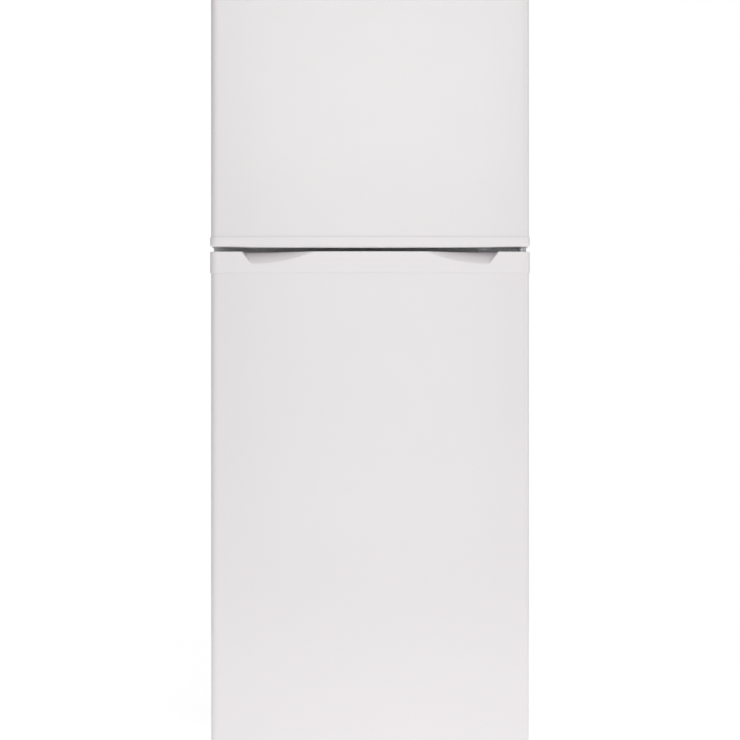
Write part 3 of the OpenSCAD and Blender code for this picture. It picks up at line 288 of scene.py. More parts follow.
COPPER = Finish("copper_pipe", "copper_pipe", (0.66, 0.29, 0.16), 0.41, Grain.DRAWN, 0.0015, 0.00003,
                spread=0.12, tint=0.12, metallic=1.0, soil=(0.16, 0.075, 0.05), soil_share=0.75)
ALUMINIUM = Finish("fin_aluminium", "fin_aluminium", (0.72, 0.73, 0.74), 0.40, Grain.BRUSHED, 0.0012, 0.00003,
                   spread=0.1, tint=0.04, metallic=1.0)
FOAM = Finish("insulation_foam", "foam", (0.78, 0.68, 0.38), 0.85, Grain.CELLS, 0.0022, 0.0006,
              spread=0.08, tint=0.10)
COATED_WIRE = Finish("coated_wire", "coated_wire", (0.82, 0.82, 0.82), 0.21, Grain.PEEL, 0.003, 0.00003,
                     coat=0.3)
CLEAR_PLASTIC = Finish("clear_plastic", "clear_plastic", (0.965, 0.98, 0.985), 0.06, Grain.PEEL, 0.02, 0.00004,
                       spread=0.02, tint=0.006, transmission=1.0, ior=1.49, veil=0.55)
SHELF_GLASS = Finish("shelf_glass", "shelf_glass", (0.93, 0.98, 0.96), 0.03, Grain.PEEL, 0.06, 0.00001,
                     spread=0.01, tint=0.004, transmission=1.0, ior=1.52, veil=0.5)


# ---------------------------------------------------------------- shapes

def grid_quads(rows: int, cols: int, wrap_rows: bool = False, wrap_cols: bool = False) -> np.ndarray:
    """Four-sided faces of a grid whose point (i, j) has the number i * cols + j.

    Args:
        rows: points along the first parameter.
        cols: points along the second.
        wrap_rows: the last row joins the first.
        wrap_cols: the last column joins the first.

    Returns:
        An (n, 4) array of point numbers.
    """
    i, j = np.meshgrid(np.arange(rows if wrap_rows else rows - 1),
                       np.arange(cols if wrap_cols else cols - 1), indexing="ij")
    i_next, j_next = (i + 1) % rows, (j + 1) % cols
    corners = [i * cols + j, i_next * cols + j, i_next * cols + j_next, i * cols + j_next]
    return np.stack(corners, -1).reshape(-1, 4)


@dataclass
class Shell:
    """Points and faces of one or more closed surfaces.

    Attributes:
        points: an (n, 3) array.
        quads: an (m, 4) array of point numbers.
        ends: arrays of point numbers, one for each flat end with many sides.
    """

    points: np.ndarray
    quads: np.ndarray
    ends: list[np.ndarray] = field(default_factory=list)

    def __add__(self, other: "Shell") -> "Shell":
        """Joins two shells without welding them.

        Args:
            other: the shell to add.

        Returns:
            Both as one.
        """
        n = len(self.points)
        return Shell(np.vstack([self.points, other.points]), np.vstack([self.quads, other.quads + n]),
                     self.ends + [end + n for end in other.ends])

    def copies(self, moves: np.ndarray) -> "Shell":
        """Repeats the shell.

        Args:
            moves: a (k, 3) array, one move for each copy.

        Returns:
            All copies as one shell.
        """
        moves = np.atleast_2d(np.asarray(moves, float))
        k, n = len(moves), len(self.points)
        points = (self.points[None] + moves[:, None]).reshape(-1, 3)
        step = (np.arange(k) * n)[:, None, None]
        quads = (self.quads[None] + step).reshape(-1, 4)
        return Shell(points, quads, [end + i * n for i in range(k) for end in self.ends])

    def moved(self, x: float = 0.0, y: float = 0.0, z: float = 0.0) -> "Shell":
        """Returns the shell moved."""
        return Shell(self.points + np.array([x, y, z]), self.quads, self.ends)

    def mirrored(self) -> "Shell":
        """Returns the shell's mirror image in X."""
        return Shell(self.points * np.array([-1.0, 1.0, 1.0]), self.quads, self.ends)

    def both_sides(self) -> "Shell":
        """Returns the shell and its mirror image in X."""
        return self + self.mirrored()


def lift(line: np.ndarray, z: float | np.ndarray) -> np.ndarray:
    """Returns an (n, 2) line as (n, 3) points at height z."""
    return np.column_stack([line, np.broadcast_to(z, len(line))])


def stack(loops: np.ndarray, ends: bool = True) -> Shell:
    """Skin over closed loops laid one on the next, with a flat face at each end.

    Args:
        loops: (rows, cols, 3) points.
        ends: whether the first and last loops are closed.

    Returns:
        The shell.
    """
    rows, cols = loops.shape[:2]
    faces = [np.arange(cols)[::-1], (rows - 1) * cols + np.arange(cols)] if ends else []
    return Shell(loops.reshape(-1, 3), grid_quads(rows, cols, wrap_cols=True), faces)


def hoop(loops: np.ndarray) -> Shell:
    """Skin over closed loops of which the last joins the first, as a seal's profile carried round a frame.

    Args:
        loops: (rows, cols, 3) points.

    Returns:
        The shell, which has no flat ends.
    """
    rows, cols = loops.shape[:2]
    return Shell(loops.reshape(-1, 3), grid_quads(rows, cols, wrap_rows=True, wrap_cols=True))


def thick_sheet(outer: np.ndarray, inner: np.ndarray) -> Shell:
    """Closed wall between two open surfaces, joined along their edges.

    Args:
        outer: (rows, cols, 3) points of one face.
        inner: the same grid of points on the other face.

    Returns:
        The shell.
    """
    rows, cols = outer.shape[:2]
    n = rows * cols
    quads = grid_quads(rows, cols)
    number = np.arange(n).reshape(rows, cols)
    edge = np.concatenate([number[0], number[1:, -1], number[-1, -2::-1], number[-2:0:-1, 0]])
    after = np.roll(edge, -1)
    rim = np.stack([edge, after, after + n, edge + n], -1)
    return Shell(np.vstack([outer.reshape(-1, 3), inner.reshape(-1, 3)]),
                 np.vstack([quads, quads[:, ::-1] + n, rim]))


def arc(x: float, y: float, r: float, start: float, end: float, n: int) -> np.ndarray:
    """Points on a circle.

    Args:
        x: centre.
        y: centre.
        r: radius.
        start: first angle, in degrees.
        end: last angle, in degrees.
        n: steps between them.

    Returns:
        (n + 1, 2) points.
    """
    a = np.radians(np.linspace(start, end, n + 1))
    return np.column_stack([x + r * np.cos(a), y + r * np.sin(a)])


def rounded_rect(x0: float, y0: float, x1: float, y1: float, r: float, n: int = 6) -> np.ndarray:
    """Closed, counterclockwise rectangle whose corners are quarter circles.

    Args:
        x0: left side.
        y0: lower side.
        x1: right side.
        y1: upper side.
        r: radius of the corners, made smaller where a side is too short for it.
        n: steps of a corner.

    Returns:
        (4 n + 4, 2) points.
    """
    r = max(min(r, (x1 - x0) / 2 - 1e-5, (y1 - y0) / 2 - 1e-5), 1e-4)
    return np.vstack([arc(x1 - r, y1 - r, r, 0, 90, n), arc(x0 + r, y1 - r, r, 90, 180, n),
                      arc(x0 + r, y0 + r, r, 180, 270, n), arc(x1 - r, y0 + r, r, 270, 360, n)])


def inset(line: np.ndarray, d: float) -> np.ndarray:
    """Moves each point of a closed counterclockwise line inwards by d along its mitre.

    The move is d (a + b) / (1 + a.b), with a and b the inward normals of the sides before and after.

    Args:
        line: (n, 2) points.
        d: how far inwards, below 0 for outwards.

    Returns:
        The moved points.
    """
    if abs(d) < 1e-9:
        return line
    side = np.roll(line, -1, 0) - line
    side /= np.maximum(np.linalg.norm(side, axis=1, keepdims=True), 1e-12)
    after = np.column_stack([-side[:, 1], side[:, 0]])
    before = np.roll(after, 1, 0)
    return line + d * (before + after) / np.maximum(1 + (before * after).sum(1, keepdims=True), 0.2)


def plate(line: np.ndarray, z0: float, z1: float, low: float = 0.0, high: float = 0.0, steps: int = 4,
          land: float = 0.001) -> Shell:
    """Solid of a closed line between two heights, its rims rounded: at angle t a rim of radius r is
    r (1 - sin t) further in and r (1 - cos t) from its face.

    Args:
        line: closed counterclockwise (n, 2) line.
        z0: lower face.
        z1: upper face.
        low: radius of the lower rim.
        high: radius of the upper rim.
        steps: points on a rounded rim.
        land: width of the flat strip inside each rim, which keeps the faces' shading flat.

    Returns:
        The shell.
    """
    turn = np.linspace(0, math.pi / 2, steps + 1)
    levels = [(low * (1 - math.sin(t)), z0 + low * (1 - math.cos(t))) for t in (turn if low else turn[-1:] * 0)]
    levels += [(high * (1 - math.sin(t)), z1 - high * (1 - math.cos(t)))
               for t in (turn[::-1] if high else turn[-1:] * 0)]
    if not low:
        levels[0] = (0.0, z0)
    if not high:
        levels[-1] = (0.0, z1)
    levels = [(low + land, z0), *levels, (high + land, z1)]
    return stack(np.stack([lift(inset(line, d), z) for d, z in levels]))


def block(x0: float, y0: float, z0: float, x1: float, y1: float, z1: float, r: float = 0.0005,
          corner: float | None = None) -> Shell:
    """Box with rounded rims.

    Args:
        x0: left.
        y0: front.
        z0: foot.
        x1: right.
        y1: back.
        z1: top.
        r: radius of the rims.
        corner: radius of the upright corners, or None for r.

    Returns:
        The shell.
    """
    return plate(rounded_rect(x0, y0, x1, y1, r if corner is None else corner, 4), z0, z1, r, r, 3, 0.0002)


def tub(line: np.ndarray, z0: float, z1: float, wall: float, floor: float, draft: float = 0.0,
        foot: float = 0.004, rim_drop: np.ndarray | None = None, lip: float = 0.0,
        lip_out: float = 0.0012) -> Shell:
    """Open container: down inside from the rim, over a rounded foot to the floor, and the same outside.

    Args:
        line: closed counterclockwise outline of the rim.
        z0: underside.
        z1: rim.
        wall: thickness of the wall.
        floor: thickness of the floor.
        draft: how much narrower each side is at the foot.
        foot: radius between wall and floor.
        rim_drop: how much lower the rim is at each point of the line.
        lip: height of the band round the rim, 0 for none.
        lip_out: how far the band stands out from the wall.

    Returns:
        The shell.
    """
    drop = np.zeros(len(line)) if rim_drop is None else rim_drop
    out = lip_out if lip else 0.0
    soft = wall * 0.3
    turn = np.linspace(0, math.pi / 2, 5)
    inner = [(out + wall + draft + foot + 0.002, z0 + floor)]
    inner += [(out + wall + draft + foot * (1 - math.sin(t)), z0 + floor + foot * (1 - math.cos(t)))
              for t in turn]
    outer = [(out + draft + foot * (1 - math.sin(t)), z0 + foot * (1 - math.cos(t))) for t in turn[::-1]]
    outer += [(out + draft + foot + 0.002, z0)]
    rim = [(out + wall, soft), (out + wall - soft, 0.0), (soft, 0.0), (0.0, soft)]
    if lip:
        rim += [(0.0, lip - soft), (soft, lip), (out - soft, lip), (out, lip + soft)]
    loops = [lift(inset(line, d), z) for d, z in inner]
    loops += [lift(inset(line, d), z1 - down - drop) for d, down in rim]
    loops += [lift(inset(line, d), z) for d, z in outer]
    return stack(np.stack(loops))


def lathe(profile: np.ndarray, sides: int = 48, flutes: int = 0, flute: float = 0.0) -> Shell:
    """Turns a profile about Z; flutes pull the widest part in by flute (1 - cos(flutes a)) / 2 at angle a.

    Args:
        profile: (n, 2) points of radius and height; it needs no ends where it starts and ends on the axis.
        sides: points round the axis.
        flutes: number of flutes.
        flute: depth of a flute.

    Returns:
        The shell.
    """
    a = np.linspace(0, 2 * math.pi, sides, endpoint=False)
    r, z = profile[:, :1], profile[:, 1:]
    widest = (r > 0.85 * r.max()).astype(float)
    r = r - widest * flute * (1 - np.cos(flutes * a)) / 2
    points = np.stack([r * np.cos(a), r * np.sin(a), np.broadcast_to(z, (len(profile), sides))], -1)
    closed = profile[0, 0] > 1e-6 and profile[-1, 0] > 1e-6
    return stack(points, ends=closed)


def tube(path: np.ndarray, radius: float | np.ndarray, sides: int = 16) -> Shell:
    """Round skin along a path: circle points path + radius (n cos a + m sin a), with n carried along the
    path by the smallest turn from one station to the next, so that it never twists.

    Args:
        path: (n, 3) points.
        radius: one radius, or one for each point.
        sides: points round the tube.

    Returns:
        The shell, closed at both ends.
    """
    along = np.gradient(path, axis=0)
    along /= np.linalg.norm(along, axis=1, keepdims=True)
    first = np.cross(along[0], np.eye(3)[np.argmin(np.abs(along[0]))])
    across = [first / np.linalg.norm(first)]
    for t in along[1:]:
        n = across[-1] - t * (across[-1] @ t)
        across.append(n / np.linalg.norm(n))
    across = np.array(across)
    other = np.cross(along, across)
    a = np.linspace(0, 2 * math.pi, sides, endpoint=False)[None, :, None]
    r = np.broadcast_to(radius, len(path))[:, None, None]
    return stack(path[:, None] + r * (across[:, None] * np.cos(a) + other[:, None] * np.sin(a)))


def frame_loops(profile: np.ndarray, x0: float, z0: float, x1: float, z1: float, corner: float,
                n: int = 4) -> np.ndarray:
    """Profile of (inset, y) carried round an upright frame: each profile point gives its own rounded
    rectangle, inset from the frame's outline, whose corners shrink with the inset.

    Args:
        profile: (m, 2) points: distance inside the outline, and y.
        x0: outline's left.
        z0: outline's foot.
        x1: outline's right.
        z1: outline's top.
        corner: outline's corner radius.
        n: steps of a corner.

    Returns:
        (m, points round the frame, 3) points.
    """
    rings = []
    for d, y in profile:
        ring = rounded_rect(x0 + d, z0 + d, x1 - d, z1 - d, max(corner - d, 0.0004), n)
        rings.append(np.column_stack([ring[:, 0], np.full(len(ring), y), ring[:, 1]]))
    return np.stack(rings)


@dataclass(frozen=True)
class Span:
    """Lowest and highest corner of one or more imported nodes."""

    x0: float
    y0: float
    z0: float
    x1: float
    y1: float
    z1: float

    @classmethod
    def of(cls, *nodes: str) -> "Span":
        """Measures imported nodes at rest.

        Args:
            nodes: their names.

        Returns:
            The span that holds them all.
        """
        boxes = [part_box(node) for node in nodes]
        low = np.min([tuple(b[0]) for b in boxes], axis=0)
        high = np.max([tuple(b[1]) for b in boxes], axis=0)
        return cls(*map(float, low), *map(float, high))


def make_piece(name: str, shell: Shell, finish: Finish, body: str, replaces: tuple[str, ...] = (),
               sharp: float = 38.0) -> bpy.types.Object:
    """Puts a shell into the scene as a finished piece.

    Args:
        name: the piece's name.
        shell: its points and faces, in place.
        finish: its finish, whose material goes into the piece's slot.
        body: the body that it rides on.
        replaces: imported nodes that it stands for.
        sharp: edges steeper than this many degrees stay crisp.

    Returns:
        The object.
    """
    mesh = bpy.data.meshes.new(name)
    mesh.from_pydata(shell.points.tolist(), [], shell.quads.tolist() + [end.tolist() for end in shell.ends])
    skin = bmesh.new()
    skin.from_mesh(mesh)
    bmesh.ops.remove_doubles(skin, verts=skin.verts, dist=2e-6)
    bmesh.ops.dissolve_degenerate(skin, edges=skin.edges, dist=1e-7)
    bmesh.ops.recalc_face_normals(skin, faces=skin.faces)
    skin.to_mesh(mesh)
    skin.free()
    mesh.shade_smooth()
    mesh.set_sharp_from_angle(angle=math.radians(sharp))
    mesh.materials.append(finish.material())
    piece = bpy.data.objects.new(name, mesh)
    bpy.context.scene.collection.objects.link(piece)
    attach(piece, body)
    if replaces:
        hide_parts(*replaces)
    log.info("%s: %d faces on %s", name, len(mesh.polygons), body)
    return piece


def dress(finish: Finish, *nodes: str) -> None:
    """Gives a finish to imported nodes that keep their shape.

    Args:
        finish: the finish.
        nodes: the nodes' names.
    """
    for node in nodes:
        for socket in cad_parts[node].material_slots:
            socket.material = finish.material()
        log.info("%s: kept, %s", node, finish.name)


# ---------------------------------------------------------------- doors

@dataclass(frozen=True)
class DoorPlan:
    """Plan of a bowed door: one shallow arc across the front, rounded front edges, straight sides.

    Attributes:
        half: half of the width.
        apex: y of the middle of the bow.
        back: y of the back.
        rise: how far the bow stands forward of its ends.
        edge: radius of the front edges.
        heel: radius of the back edges.
        wrap: how far the skin folds in over the back.
    """

    half: float
    apex: float
    back: float
    rise: float = 0.012
    edge: float = 0.012
    heel: float = 0.002
    wrap: float = 0.014

    def outline(self, grow: float = 0.0, bow_steps: int = 60) -> np.ndarray:
        """Outline from the left fold, round the front, to the right fold.

        With w = half + grow the bow's radius is (w w + rise rise) / 2 rise; the edge arcs of radius
        edge + grow touch it from inside and touch the sides.

        Args:
            grow: how far the outline stands outside the skin.
            bow_steps: points across the front.

        Returns:
            (n, 2) points, counterclockwise.
        """
        w, r = self.half + grow, self.edge + grow
        bow = (w * w + self.rise ** 2) / (2 * self.rise)
        centre = self.apex - grow + bow
        y = centre - math.sqrt((bow - r) ** 2 - (w - r) ** 2)
        t = math.degrees(math.atan2(y - centre, w - r))
        h = self.heel
        return np.vstack([
            [[-w + self.wrap, self.back]],
            arc(-w + h, self.back - h, h, 90, 180, 4),
            arc(-w + r, y, r, 180, 180 - t, 10),
            arc(0.0, centre, bow, -180 - t, t, bow_steps)[1:-1],
            arc(w - r, y, r, t, 0, 10),
            arc(w - h, self.back - h, h, 0, 90, 4),
            [[w - self.wrap, self.back]]])


@dataclass
class Door:
    """A bowed door: painted skin, moulded caps, magnetic seal, formed liner and clear bins.

    Attributes:
        name: the body, and the start of its nodes' names.
        bin_nodes: nodes that hold its bins, with the z and height of each bin.
        bin_half: half of a bin's width.
        bin_reach: y of a bin's far wall.
        ridge: x, low z and high z of the liner's ridge.
        proud: how far the caps stand out from the skin.
        cap_rim: radius of a cap's free rim.
        cap_seam: radius of its rim against the skin.
        sheet: thickness of the skin.
        ridge_wide: width of the ridge.
        ridge_deep: how far it stands out.
        bin_drop: how much lower a bin is towards the door.
        seal_middle: middle of the seal inside its outline, in millimetres.
        seal_profile: half of the seal's section, as millimetres from its middle and share of its depth.
    """

    name: str
    bin_nodes: dict[str, tuple[tuple[float, float], ...]]
    bin_half: float
    bin_reach: float
    ridge: tuple[float, float, float]
    proud: float = 0.0018
    cap_rim: float = 0.003
    cap_seam: float = 0.0009
    sheet: float = 0.0008
    ridge_wide: float = 0.026
    ridge_deep: float = 0.032
    bin_drop: float = 0.026
    seal_middle: float = 10.0
    seal_profile: tuple[tuple[float, float], ...] = (
        (6, 0), (7.4, 0.1), (7.6, 0.2), (5.6, 0.34), (7.2, 0.46), (8.4, 0.54), (6.2, 0.64), (8.8, 0.69),
        (9.8, 0.75), (10, 0.84), (9.8, 0.95), (9.2, 1.0))

    def __post_init__(self) -> None:
        """Reads the door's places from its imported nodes."""
        self.skin_box = Span.of(f"{self.name}_skin")
        self.low_box = Span.of(f"{self.name}_bottom_cap")
        self.top_box = Span.of(f"{self.name}_top_cap")
        self.plan = DoorPlan(self.skin_box.x1, self.skin_box.y0, self.skin_box.y1)

    def build(self) -> None:
        """Builds every piece of the door."""
        self.build_skin()
        self.build_caps()
        self.build_seal()
        self.build_liner()
        self.build_bins()
        dress(FOAM, f"{self.name}_foam")

    def build_skin(self) -> None:
        """Steel sheet round the front and sides, folded in at the back: a plan line carried upwards."""
        line = self.plan.outline(bow_steps=96)
        inner = inset(line, self.sheet)
        inner[[0, -1], 0] = line[[0, -1], 0]
        z = (self.skin_box.z0, self.skin_box.z1)
        shell = thick_sheet(np.stack([lift(line, h) for h in z]), np.stack([lift(inner, h) for h in z]))
        make_piece(f"{self.name}_painted_skin", shell, DOOR_PAINT, self.name, (f"{self.name}_skin",))

    def cap(self, z0: float, z1: float, low: float, high: float) -> Shell:
        """Plain cap, which follows the door's plan a little outside the skin.

        Args:
            z0: foot.
            z1: top.
            low: radius of the lower rim.
            high: radius of the upper rim.

        Returns:
            The shell.
        """
        return plate(self.plan.outline(self.proud, 96), z0, z1, low, high, 6)

    def build_caps(self) -> None:
        """Two plain caps."""
        self.build_lower_cap()
        self.build_upper_cap()

    def build_lower_cap(self) -> None:
        """Plain cap under the door."""
        low = self.low_box
        make_piece(f"{self.name}_lower_cap", self.cap(low.z0, low.z1, self.cap_rim, self.cap_seam), CAP_PLASTIC,
                   self.name, (f"{self.name}_bottom_cap",))

    def build_upper_cap(self) -> None:
        """Plain cap on top of the door."""
        top = self.top_box
        make_piece(f"{self.name}_upper_cap", self.cap(top.z0, top.z1, self.cap_seam, self.cap_rim), CAP_PLASTIC,
                   self.name, (f"{self.name}_top_cap",))

    def build_seal(self) -> None:
        """Bellows seal: a folded section carried round a frame with mitred corners."""
        box = Span.of(f"{self.name}_seal")
        deep = box.y1 - box.y0
        half = [(self.seal_middle + u, v) for u, v in self.seal_profile]
        far = [(self.seal_middle - u, v) for u, v in self.seal_profile[::-1]]
        profile = np.array([(d * MM, box.y0 + v * deep) for d, v in half + far])
        shell = hoop(frame_loops(profile, box.x0, box.z0, box.x1, box.z1, 0.0006, 2))
        make_piece(f"{self.name}_bellows_seal", shell, SEAL_RUBBER, self.name, (f"{self.name}_seal",), 50)

    def build_liner(self) -> None:
        """Formed liner: rounded rectangles lofted over the ridge, and the same again a wall's thickness below,
        with a lug under each end of each bin."""
        box = Span.of(f"{self.name}_liner")
        x, z0, z1 = self.ridge
        base, crest = self.skin_box.y1, self.skin_box.y1 + self.ridge_deep
        wide, soft, wall = self.ridge_wide, 0.005, 0.0014
        steps = [(0.001, base), (0.0, base + 0.001), (0.0, crest - soft)]
        turn = np.linspace(0, math.pi / 2, 6)
        steps += [(-soft * (1 - math.cos(t)), crest - soft * (1 - math.sin(t))) for t in turn[1:]]
        steps += [(-wide + soft * (1 - math.cos(t)), crest - soft * (1 - math.sin(t))) for t in turn[::-1]]
        steps += [(-wide, base + 0.001), (-wide - 0.001, base)]
        face, under = [], []
        for shift, kind in ((0.0, face), (-wall, under)):
            edge = rounded_rect(box.x0, box.z0, box.x1, box.z1, 0.003, 6)
            kind.append(np.column_stack([edge[:, 0], np.full(len(edge), base + shift), edge[:, 1]]))
            for d, y in steps:
                inward = d + (shift if d > -wide / 2 else -shift)
                ring = rounded_rect(-x - inward, z0 - inward, x + inward, z1 + min(inward, 0.0005),
                                    0.012 + 0.23 * d, 6)
                kind.append(np.column_stack([ring[:, 0], np.full(len(ring), y + shift), ring[:, 1]]))
        shell = stack(np.stack(face[::-1] + under))
        lug = (x - wide - 0.0098, x - wide + 0.0015)
        for z in [z for bins in self.bin_nodes.values() for z, _ in bins]:
            one = block(lug[0], base - 0.0005, z - 0.009, lug[1], base + 0.028, z - 0.001, 0.0015)
            shell += one.both_sides()
        make_piece(f"{self.name}_formed_liner", shell, LINER_PLASTIC, self.name, (f"{self.name}_liner",), 50)

    def build_bins(self) -> None:
        """Clear bins: each a drafted tub whose wall towards the door is lower and whose rim has a lip."""
        y0 = self.skin_box.y1 + 0.001
        line = rounded_rect(-self.bin_half, y0, self.bin_half, self.bin_reach, 0.013, 8)
        near = np.clip((y0 + 0.016 - line[:, 1]) / 0.014, 0, 1)
        drop = self.bin_drop * near * near * (3 - 2 * near)
        for node, bins in self.bin_nodes.items():
            parts = [tub(line, z, z + h, 0.0024, 0.0026, 0.0012, 0.005, drop, 0.006) for z, h in bins]
            shell = parts[0]
            for part in parts[1:]:
                shell += part
            make_piece(f"{node}_clear", shell, CLEAR_PLASTIC, self.name, (node,))


@dataclass
class FridgeDoor(Door):
    """The lower door, whose top cap has two finger grips scooped into its front.

    Attributes:
        grip_tall: height of the scoop at its outer end.
        grip_deep: depth of the scoop at the top.
        grip_out: x of the outer end's foot.
        grip_in: x where the scoop has run out.
        grip_lean: how much further out the end is at the top.
        grip_rim: radius of the cap's upper rim.
        grip_row: height of one row of the loft.
    """

    grip_tall: float = 0.024
    grip_deep: float = 0.036
    grip_out: float = 0.222
    grip_in: float = 0.101
    grip_lean: float = 0.017
    grip_rim: float = 0.0016
    grip_row: float = 0.0008

    def scoop(self, x: np.ndarray, z: np.ndarray) -> np.ndarray:
        """Depth of the finger scoops.

        The floor line rises inwards as a parabola, top - tall (1 - q q) with q from 0 at the outer end to 1
        at the inner; above it the depth grows as the power 1.3 of the height over tall. The outer end leans out
        and rolls over in a smooth step 7 mm long.

        Args:
            x: across the door.
            z: heights.

        Returns:
            How far the front moves back at each point.
        """
        top, side = self.top_box.z1, np.abs(x)
        q = np.clip((self.grip_out - side) / (self.grip_out - self.grip_in), 0, 1)
        floor = top - self.grip_tall * (1 - q * q)
        up = np.clip((z - floor) / self.grip_tall, 0, 1)
        end = self.grip_out + self.grip_lean * (z - (top - self.grip_tall)) / self.grip_tall
        roll = np.clip((end - side) / 0.007 + 0.1, 0, 1)
        return self.grip_deep * up ** 1.3 * roll * roll * (3 - 2 * roll)

    def build_caps(self) -> None:
        """Plain lower cap; the upper cap is lofted in fine rows so that the scoops can be pressed into it."""
        self.build_lower_cap()
        top, soft, rim = self.top_box, self.cap_seam, self.grip_rim
        line = self.plan.outline(self.proud, 520)
        turn = np.linspace(0, math.pi / 2, 5)
        levels = [(soft + 0.001, top.z0)]
        levels += [(soft * (1 - math.sin(t)), top.z0 + soft * (1 - math.cos(t))) for t in turn]
        levels += [(0.0, z) for z in np.arange(top.z0 + 0.002, top.z1 - rim - 0.0003, self.grip_row)]
        levels += [(rim * (1 - math.sin(t)), top.z1 - rim * (1 - math.cos(t))) for t in turn[::-1]]
        levels += [(rim + 0.001, top.z1)]
        loops = np.stack([lift(inset(line, d), z) for d, z in levels])
        front = loops[..., 1] < self.plan.apex + 2 * self.plan.edge
        loops[..., 1] += front * self.scoop(loops[..., 0], loops[..., 2])
        make_piece(f"{self.name}_grip_cap", stack(loops), CAP_PLASTIC, self.name, (f"{self.name}_top_cap",), 60)


@dataclass
class FreezerDoor(Door):
    """The upper door, whose bottom cap hangs lower in the middle.

    Attributes:
        crown: how much lower the middle hangs.
        crown_half: x where the cap is level again.
        crown_rim: radius of the cap's lower rim.
    """

    crown: float = 0.0024
    crown_half: float = 0.272
    crown_rim: float = 0.005

    def build_caps(self) -> None:
        """The lower cap's points sink by crown (1 - (x / half) squared), fading out over its height."""
        low = self.low_box
        z0 = low.z0 + self.crown
        shell = self.cap(z0, low.z1, self.crown_rim, self.cap_seam)
        p = shell.points
        fade = np.clip((low.z1 - p[:, 2]) / (low.z1 - z0), 0, 1)
        p[:, 2] -= self.crown * np.clip(1 - (p[:, 0] / self.crown_half) ** 2, 0, 1) * fade
        make_piece(f"{self.name}_crowned_cap", shell, CAP_PLASTIC, self.name, (f"{self.name}_bottom_cap",))
        self.build_upper_cap()


# ---------------------------------------------------------------- cabinet

@dataclass
class Cabinet:
    """The painted case, its back, centre rail and hinge cover.

    Attributes:
        corner: radius of the upper corners.
        bend: radius of the folds at the front.
        flange: width of the front flange.
        sheet: thickness of the steel.
    """

    corner: float = 0.0024
    bend: float = 0.0025
    flange: float = 0.032
    sheet: float = 0.0008

    def arch(self, box: Span, d: float) -> np.ndarray:
        """Path up the left side, over the top and down the right.

        Args:
            box: the case.
            d: how far inside the case the path runs.

        Returns:
            (n, 2) points of x and z.
        """
        r = max(self.corner - d, 0.0005)
        left = arc(box.x0 + d + r, box.z1 - d - r, r, 180, 90, 6)
        right = arc(box.x1 - d - r, box.z1 - d - r, r, 90, 0, 6)
        return np.vstack([[[box.x0 + d, box.z0]], left, right, [[box.x1 - d, box.z0]]])

    def surface(self, box: Span, extra: float) -> np.ndarray:
        """Grid of the case's skin: the arch carried along the fold's section.

        Args:
            box: the case.
            extra: how far inside the outer face the grid lies.

        Returns:
            (rows, cols, 3) points.
        """
        r = self.bend - extra
        t = np.radians(np.linspace(0, 90, 6))
        section = [(self.flange, box.y0 + extra)]
        section += [(self.bend - r * math.sin(a), box.y0 + self.bend - r * math.cos(a)) for a in t]
        section += [(extra, box.y1)]
        rows = []
        for d, y in section:
            line = self.arch(box, d)
            rows.append(np.column_stack([line[:, 0], np.full(len(line), y), line[:, 1]]))
        return np.stack(rows)

    def build(self) -> None:
        """Builds the case and the hinge cover, and dresses the plain panels."""
        box = Span.of("outer_case")
        wrap = thick_sheet(self.surface(box, 0.0), self.surface(box, self.sheet))
        make_piece("case_wrap", wrap, CABINET_PAINT, "cabinet", ("outer_case",))
        cover = Span.of("top_hinge_cover")
        line = rounded_rect(cover.x0, cover.y0, cover.x1, cover.y1, 0.009, 8)
        shell = tub(line, -cover.z1, -cover.z0, 0.002, 0.002, 0.0012, 0.0055)
        shell.points[:, 2] *= -1
        make_piece("hinge_cover_shell", shell, CAP_PLASTIC, "cabinet", ("top_hinge_cover",))
        dress(CABINET_PAINT, "centre_rail")
        dress(ZINC, "back_panel", "machine_panel", "base_frame", "top_hinge", "middle_hinge", "bottom_hinge")
        dress(STEEL, "hinge_screws")
        dress(WHITE_PLASTIC, "hinge_hole_plugs")
        dress(FOAM, "insulation_foam")
        dress(LINER_PLASTIC, "fridge_liner", "freezer_liner")


